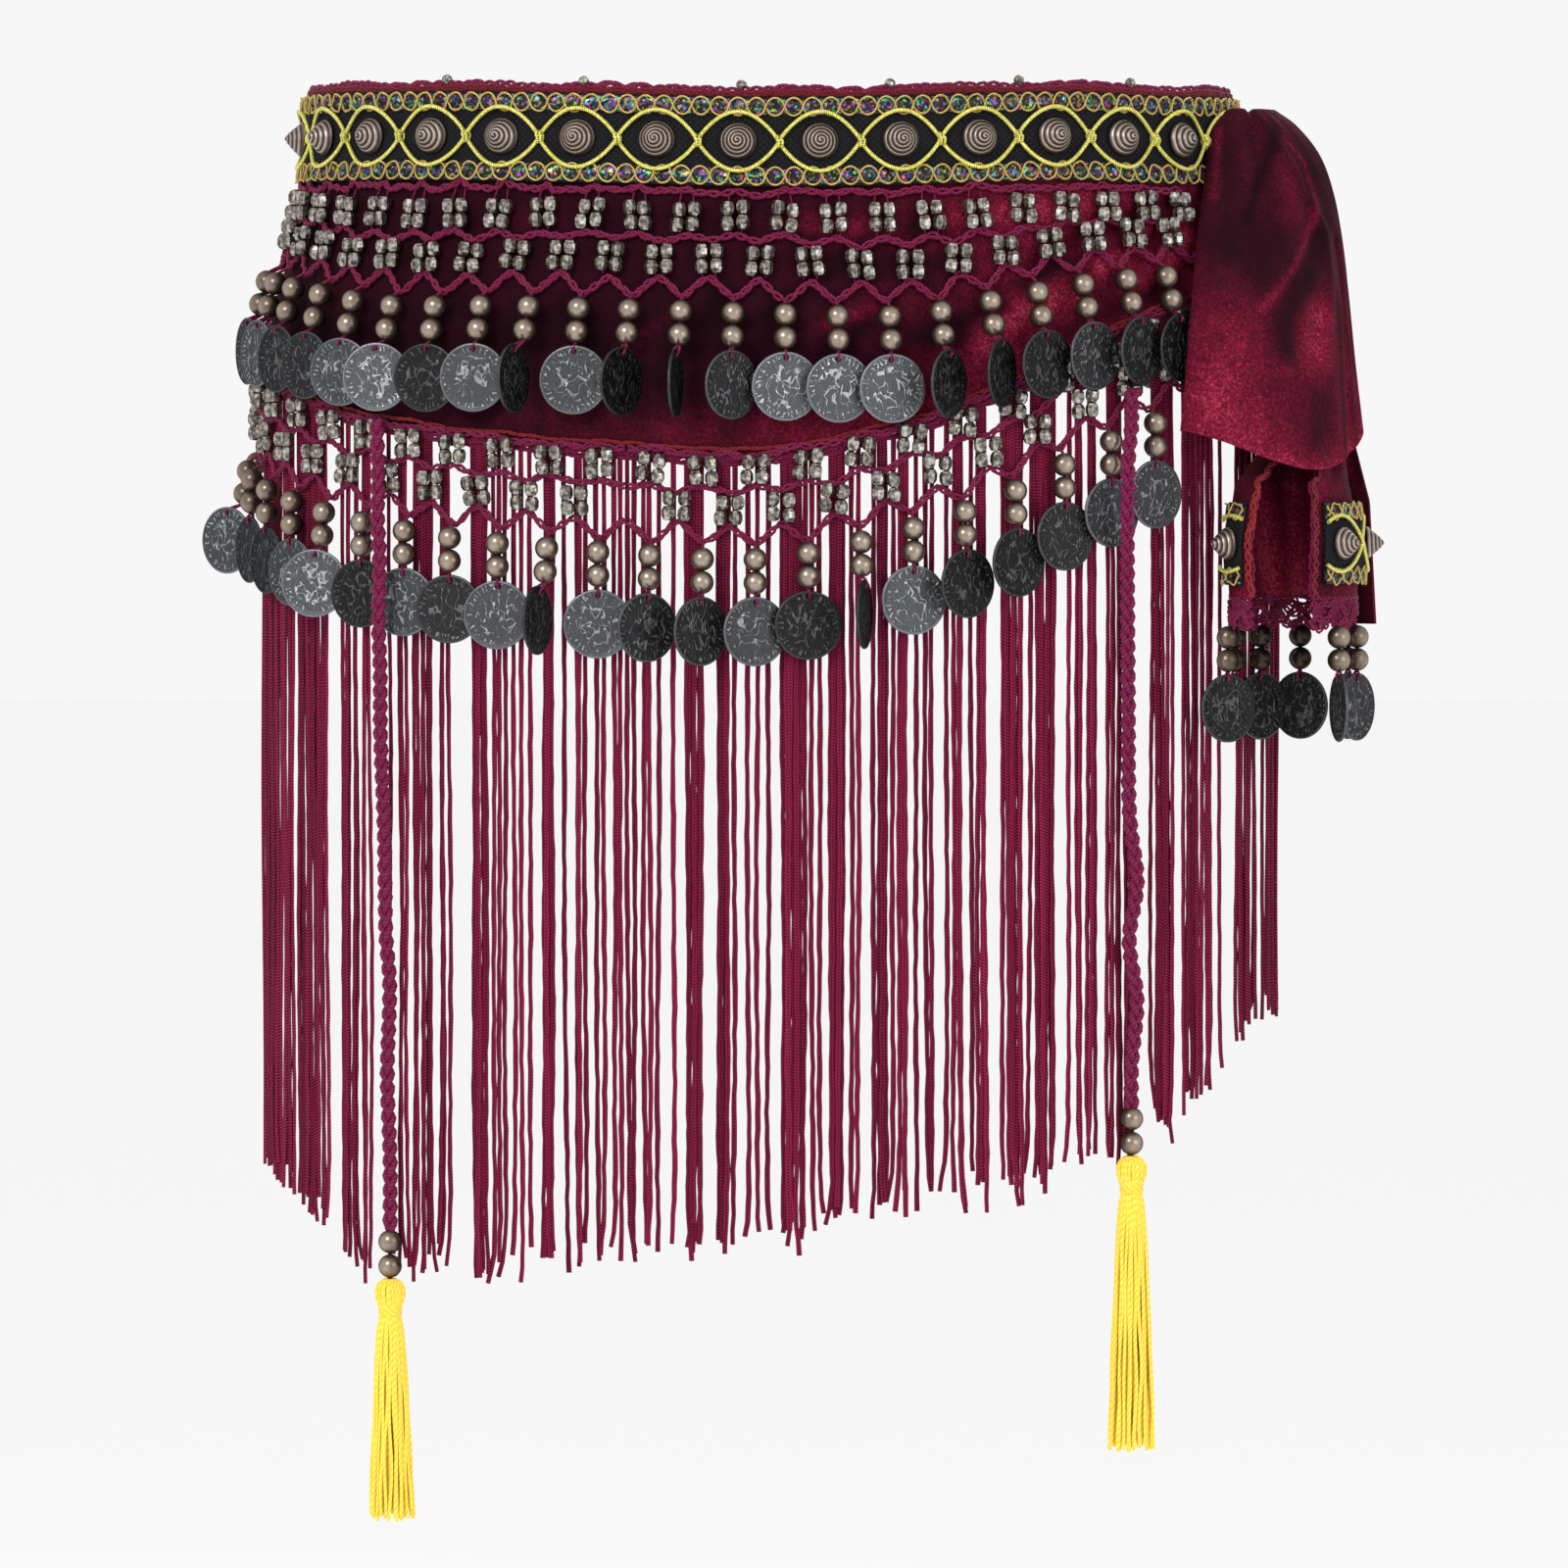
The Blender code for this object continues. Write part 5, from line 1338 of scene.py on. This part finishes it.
across = np.linspace(0, 1, FLAP_COLUMNS)[None, :]
height = heights(FLAP_ROWS, FLAP_LINES)
left_x, left_y, right_x, right_y, bulge = read_rows(FLAP_ROWS, height, True)
chord = np.hypot(right_x - left_x, right_y - left_y)
facing = np.stack([(right_y - left_y) / chord, -(right_x - left_x) / chord], -1)
creased = dips_and_painted_strokes(across * FLAP_WIDTH, height, widened(FLAP_CREASES, FLAP_WIDTH))
swell = bulge * np.sin(math.pi * across) ** 0.8 - creased
# The flap's painted highlights and shade, on a painted sheen that grows brighter towards its lower
# edge.
painted = dips_and_painted_strokes(across * FLAP_WIDTH, height, widened(FLAP_PAINTED_LIGHT))
painted_sheen_and_shade = np.interp(height, (-105, -55, 9), (0.66, 0.33, 0.28)) + painted
top_dips = 2.6 * np.exp(-(across / 0.1) ** 2) + 1.5 * np.exp(-((across - 0.42) / 0.07) ** 2)
swell = swell + 0.25 * np.sin(across * 40 + height / 9) * np.sin(math.pi * across)
sink = 13 * np.sin(math.pi * across ** 1.4) ** 0.9 * np.maximum(0, height / FLAP_ROWS[-1][0]) ** 3
sink = sink + top_dips * np.clip((height + 9) / 18, 0, 1) ** 2


def flap_side(inward):
    push = swell - inward
    x = left_x + (right_x - left_x) * across + facing[..., 0] * push
    y = left_y + (right_y - left_y) * across + facing[..., 1] * push
    return np.stack([x, y, height - sink], -1)


flap = Work()
flap.sheet(flap_side(0.0), flap_side(FLAP_THICK),
           np.stack(np.broadcast_arrays(across * FLAP_WIDTH, height, painted_sheen_and_shade), -1))
flap_piece = flap.make("flap_velvet", velvet, "velvet", ["knot_flap"])

# %% Knot
KNOT_ARC = 191.0
KNOT_ROWS = ((3, 8.5, 3.5, 6), (-8, 10.8, 6.5, 9), (-30, 13, 8.5, 11), (-60, 15, 10.5, 13),
             (-88, 16.5, 9.5, 12), (-104, 17, 4.5, 6))


def oval_places(height, arc, off, half_out, half_along, turn, grow=0.0):
    """Points on upright ovals round a place on the hips."""
    out, along = out_at(arc, height), along_at(arc, height)
    return (on_form(arc, height, off) + along * (np.cos(turn) * (half_along + grow))[..., None]
            + out * (np.sin(turn) * (half_out + grow))[..., None])


height = heights(KNOT_ROWS, 60)
turn = np.arange(49)[None, :] / 48 * math.tau
off, half_out, half_along = read_rows(KNOT_ROWS, height, True)
wrap = -0.9 * np.cos(turn * 3 + height / 7) ** 4 - 0.4 * np.cos(turn * 2 - height / 13) ** 2
places = oval_places(*np.broadcast_arrays(height, KNOT_ARC, off, half_out, half_along, turn), wrap)
knot = Work()
# Painted light on the knot: painted shade where the folds dip in, and a painted sheen that winds round
# it.
painted_sheen_and_shade = 0.34 + wrap * 0.16 + 0.12 * np.sin(turn * 2 + height / 15)
knot.grid(places[:, :-1], np.stack(np.broadcast_arrays(turn * 12, height, painted_sheen_and_shade), -1), True, True)
knot_piece = knot.make("knot_velvet", velvet, "velvet", ["knot"])

# %% Tail and the strip behind it
TAIL_ROWS = ((-90, 191, 17, 12.8, 15.4), (-106, 187.5, 18.5, 13.5, 19.5), (-120, 175, 21, 16.5, 27),
             (-140, 173, 23, 18.5, 32), (-158, 173, 23, 17.5, 31))
TAIL_THICK = 2.0
TAIL_OPEN = (math.radians(175), math.radians(475))
TAIL_MIDDLE = -140.0
TAIL_END = float(TAIL_ROWS[-1][0])


def tail_at(height):
    """The tail's section at a height: arc, off, half depth and half width."""
    return read_rows(TAIL_ROWS, height)


def tail_turns(first, last, count):
    """Turns round the tail that are evenly spaced along its cloth."""
    fine = np.linspace(first, last, 721)
    _, _, half_out, half_along = tail_at(TAIL_MIDDLE)
    path = np.stack([half_along * np.cos(fine), half_out * np.sin(fine), 0 * fine], -1)
    reach = run(path)
    return np.interp(np.linspace(0, reach[-1], count + 1), reach, fine)


def on_tail(turn, height, grow=0.0):
    arc, off, half_out, half_along = tail_at(height)
    shaped = np.broadcast_arrays(height, arc, off, half_out, half_along, turn)
    return oval_places(*shaped, grow)


turn = tail_turns(*TAIL_OPEN, 120)[None, :]
height = heights(TAIL_ROWS, 50)
flat_parts = np.zeros(turn.shape)
for start, end in ((178, 218), (384, 472)):
    inside = (np.degrees(turn) > start) & (np.degrees(turn) < end)
    flat_parts = np.where(inside, 1.0, flat_parts)
ripple = (0.7 * np.sin(turn * 9 + height / 30) + 0.5 * np.sin(turn * 14 + 1)) - 0.8
ripple = (ripple * np.clip((-96 - height) / 12, 0, 1)
          * (1 - flat_parts * np.clip((-112 - height) / 10, 0, 1)))
ripple = np.minimum(ripple, 0.0)
tail = Work()
# Painted light on the tail: painted shade in its ripples and a painted sheen on the back wall of the
# tube.
painted_sheen_and_shade = 0.45 + ripple * 0.14 + 0.1 * np.sin(turn * 3 + height / 11) + 0.4 * np.exp(-(turn - 5.4) ** 2)
tail.sheet(on_tail(turn, height, ripple), on_tail(turn, height, ripple - TAIL_THICK + 0.4),
           np.stack(np.broadcast_arrays(turn * 25, height, painted_sheen_and_shade), -1))
tail_piece = tail.make("tail_velvet", velvet, "velvet", ["tail_tube"])

STRIP_ROWS = ((-92, 182, -18.2, 195, -22.2), (-106, 184, -22.8, 201, -28.1),
              (-126, 187, -20, 206, -28), (-168, 188, -19, 208, -30))
height = heights(STRIP_ROWS, 44)
across = np.linspace(0, 1, 20)[None, :]
near_x, near_y, far_x, far_y = read_rows(STRIP_ROWS, height)
chord = np.hypot(far_x - near_x, far_y - near_y)
back = np.stack([-(far_y - near_y) / chord, (far_x - near_x) / chord], -1)
arch = np.sin(math.pi * across)
bow = 2.0 * arch + 0.4 * np.sin(across * 16 + height / 20) * arch


def strip_side(inward):
    x = near_x + (far_x - near_x) * across + back[..., 0] * (bow + inward)
    y = near_y + (far_y - near_y) * across + back[..., 1] * (bow + inward)
    return np.stack(np.broadcast_arrays(x, y, height), -1)


strip = Work()
# Soft bands of painted sheen across the strip.
painted_sheen_and_shade = 0.3 + 0.15 * np.sin(across * 9 + height / 20)
strip.sheet(strip_side(0.0), strip_side(1.8),
            np.stack(np.broadcast_arrays(across * 20, height, painted_sheen_and_shade), -1))
strip_piece = strip.make("strip_velvet", velvet, "velvet", ["tail_back_strip"])

# %% [markdown]
# The tail still carries two pieces of the trim, because it is the scarf's own end. They use the same
# ribbon, links, gimp and studs as the band, bent round the tube's section. Both of the tail's edges
# and its lower end are crocheted.

# %% Tail trim and crochet edges
PATCHES = {"tail_trim_left": (182, 214, (198,)), "tail_trim_right": (388, 468, (400, 452))}
PATCH_MIDDLE = TAIL_MIDDLE
PATCH_HALF = 14.0
PATCH_STUD_RADIUS = 5.7
PATCH_EDGE = 11.0
PATCH_OFF = 1.6
TAIL_EDGE_TOP = -98
small_stud = spiral_stud(PATCH_STUD_RADIUS)
tail_middle = on_tail(np.array([0.0, math.pi]), np.full(2, TAIL_MIDDLE)).mean(0)


def facing_from_tail(turn, height):
    here, ahead = on_tail(turn, height), on_tail(turn + 0.03, height)
    along = unit(ahead - here)
    return np.stack([along[..., 1], -along[..., 0], 0 * along[..., 0]], -1)


for name, (first, last, stud_turns) in PATCHES.items():
    turn = tail_turns(math.radians(first), math.radians(last), 60)
    wide = run(on_tail(turn, np.full(turn.shape, PATCH_MIDDLE)))
    rise = np.linspace(1, -1, 9)[:, None] * PATCH_HALF
    band = PATCH_MIDDLE + rise
    patch = Work()
    patch.sheet(on_tail(turn[None], band, PATCH_OFF), on_tail(turn[None], band, 0.4),
                np.stack(np.broadcast_arrays(wide[None], rise, 0.0), -1))
    patch.make(f"{name}_ribbon", grosgrain, "ribbon", [name])
    facing = facing_from_tail(turn, PATCH_MIDDLE)
    flashes, links, cords = Work(), Work(), Work()
    for rise in (PATCH_EDGE, -PATCH_EDGE):
        band = PATCH_MIDDLE + rise + np.linspace(2.6, -2.6, 5)[:, None]
        flashes.sheet(on_tail(turn[None], band, 2.4), on_tail(turn[None], band, 1.65),
                      np.stack(np.broadcast_arrays(wide[None], band, 0.0), -1))
        for thread, phase in enumerate((0.0, 0.5)):
            swing = 2.7 * np.sin((wide / (2 * LINK) + phase) * math.tau)
            swing = swing + 0.5 * np.sin(wide * 1.7 + thread)
            links.tube(on_tail(turn, PATCH_MIDDLE + rise + swing, 2.9), facing, 0.32, None, 5, thread)
    middle = np.interp(math.radians(stud_turns[0]), turn, wide)
    for phase in (0.0, 1.0):
        swing = blunt(np.sin(((wide - middle) / STUD_PITCH + 0.5 + phase) * math.pi), 0.8)
        cords.tube(on_tail(turn, PATCH_MIDDLE + 9.5 * swing, 2.8 + phase * 0.4), facing, 0.7, None, 7,
                   phase)
    flashes.make(f"{name}_glitter", glitter, "ribbon")
    links.make(f"{name}_gold_links", gold_thread, "ribbon")
    cords.make(f"{name}_gimp", gimp, "ribbon")
    metal = Work()
    for degrees in stud_turns:
        out = facing_from_tail(math.radians(degrees), PATCH_MIDDLE)
        if np.dot(out, on_tail(math.radians(degrees), PATCH_MIDDLE) - tail_middle) < 0:
            out = -out
        base = on_tail(math.radians(degrees), PATCH_MIDDLE, PATCH_OFF) + out * 0.45
        metal.stamp(small_stud, base, (np.cross(UP, out), UP, out))
    metal.make(f"{name}_studs", copper, "copper",
               [f"{name}_stud_{i}" for i in range(len(stud_turns))])

edge_height = np.arange(TAIL_EDGE_TOP, TAIL_END - 0.5, -1.0)
for side, turn, upper, lower in (("left", TAIL_OPEN[0], orange_yarn, magenta_yarn),
                                 ("right", TAIL_OPEN[1], red_yarn, magenta_yarn)):
    facing = facing_from_tail(turn, TAIL_MIDDLE)
    for name, grow, spread, finish in (("outer", 0.5, 0.9, upper), ("inner", -1.4, 0.7, lower)):
        seam = Work()
        wander = grow + 0.3 * np.sin(edge_height / 6 + grow)
        seam.plait(on_tail(np.full(edge_height.shape, turn), edge_height, wander), facing, 8.0, spread,
                   0.4, 0.48, 5, grow, 0.25)
        seam.make(f"tail_edge_{side}_{name}", finish, "yarn")

# %% Tail lace
TAIL_BASE = -158.3
TAIL_LACE_DROP = 9.0
TAIL_LACE_COLUMNS = 15
TAIL_YAWS = (-60, 25, -8, -60, -60, -20, 45)
TAIL_HANG = 5.0
TAIL_CHAINS = ((-158.1, 0.2, 9.0), (-160.2, 1.0, 7.0), (-162.5, 2.0, 12.0), (-165.2, 2.4, 15.5),
               (-163.0, 2.8, 19.0), (-167.5, 1.9, 9.5), (-164.5, 2.6, 8.2))
tail_yarn, tail_balls, tail_coins = Work(), Work(), Work()
turn = tail_turns(*TAIL_OPEN, 150)
reach = run(on_tail(turn, np.full(turn.shape, TAIL_END)))
facing = facing_from_tail(turn, TAIL_END)
for thread, (base, swing, pitch) in enumerate(TAIL_CHAINS):
    height = base + swing * np.sin(reach / pitch * math.tau + thread * 1.7) + 0.4 * np.sin(reach / 2.3)
    tangle = min(thread, 1)
    grow = -0.9 + 0.8 * tangle * np.sin(reach / 5 + thread * 2)
    tail_yarn.plait(on_tail(turn, height, grow), facing, 8.0, 0.6 + 0.2 * tangle, 0.35,
                    0.7 - 0.2 * tangle, 4, thread / 3, 0.3 * tangle)
columns = tail_turns(*TAIL_OPEN, TAIL_LACE_COLUMNS)
for column, yaw in zip(range(1, TAIL_LACE_COLUMNS, 2), TAIL_YAWS):
    pair = columns[column:column + 2]
    edge = on_tail(pair, np.full(2, TAIL_BASE - TAIL_LACE_DROP), -0.9)
    root = edge.mean(0)
    along = unit(edge[0] - edge[1])
    out = np.array([along[1], -along[0], 0.0])
    if np.dot(out, root - tail_middle) < 0:
        out = -out

    def seat(height, off, root=root, out=out):
        return np.array([root[0], root[1], height]) + out * (off - TAIL_HANG)

    # Each coin on the tail takes a random, mostly large share of painted shade.
    hang((tail_yarn, tail_balls, tail_coins), root, seat, along, out, yaw, BEAD_OFF,
         float(chance.uniform(0.6, 0.95)))
tail_lace_pieces = [tail_yarn.make("tail_lace_crochet", magenta_yarn, "yarn", ["tail_lace"]),
                    tail_balls.make("tail_lace_round_beads", pearl_bronze, "copper", ["tail_lace"]),
                    tail_coins.make("tail_lace_coins", gunmetal, "copper", ["tail_lace"])]
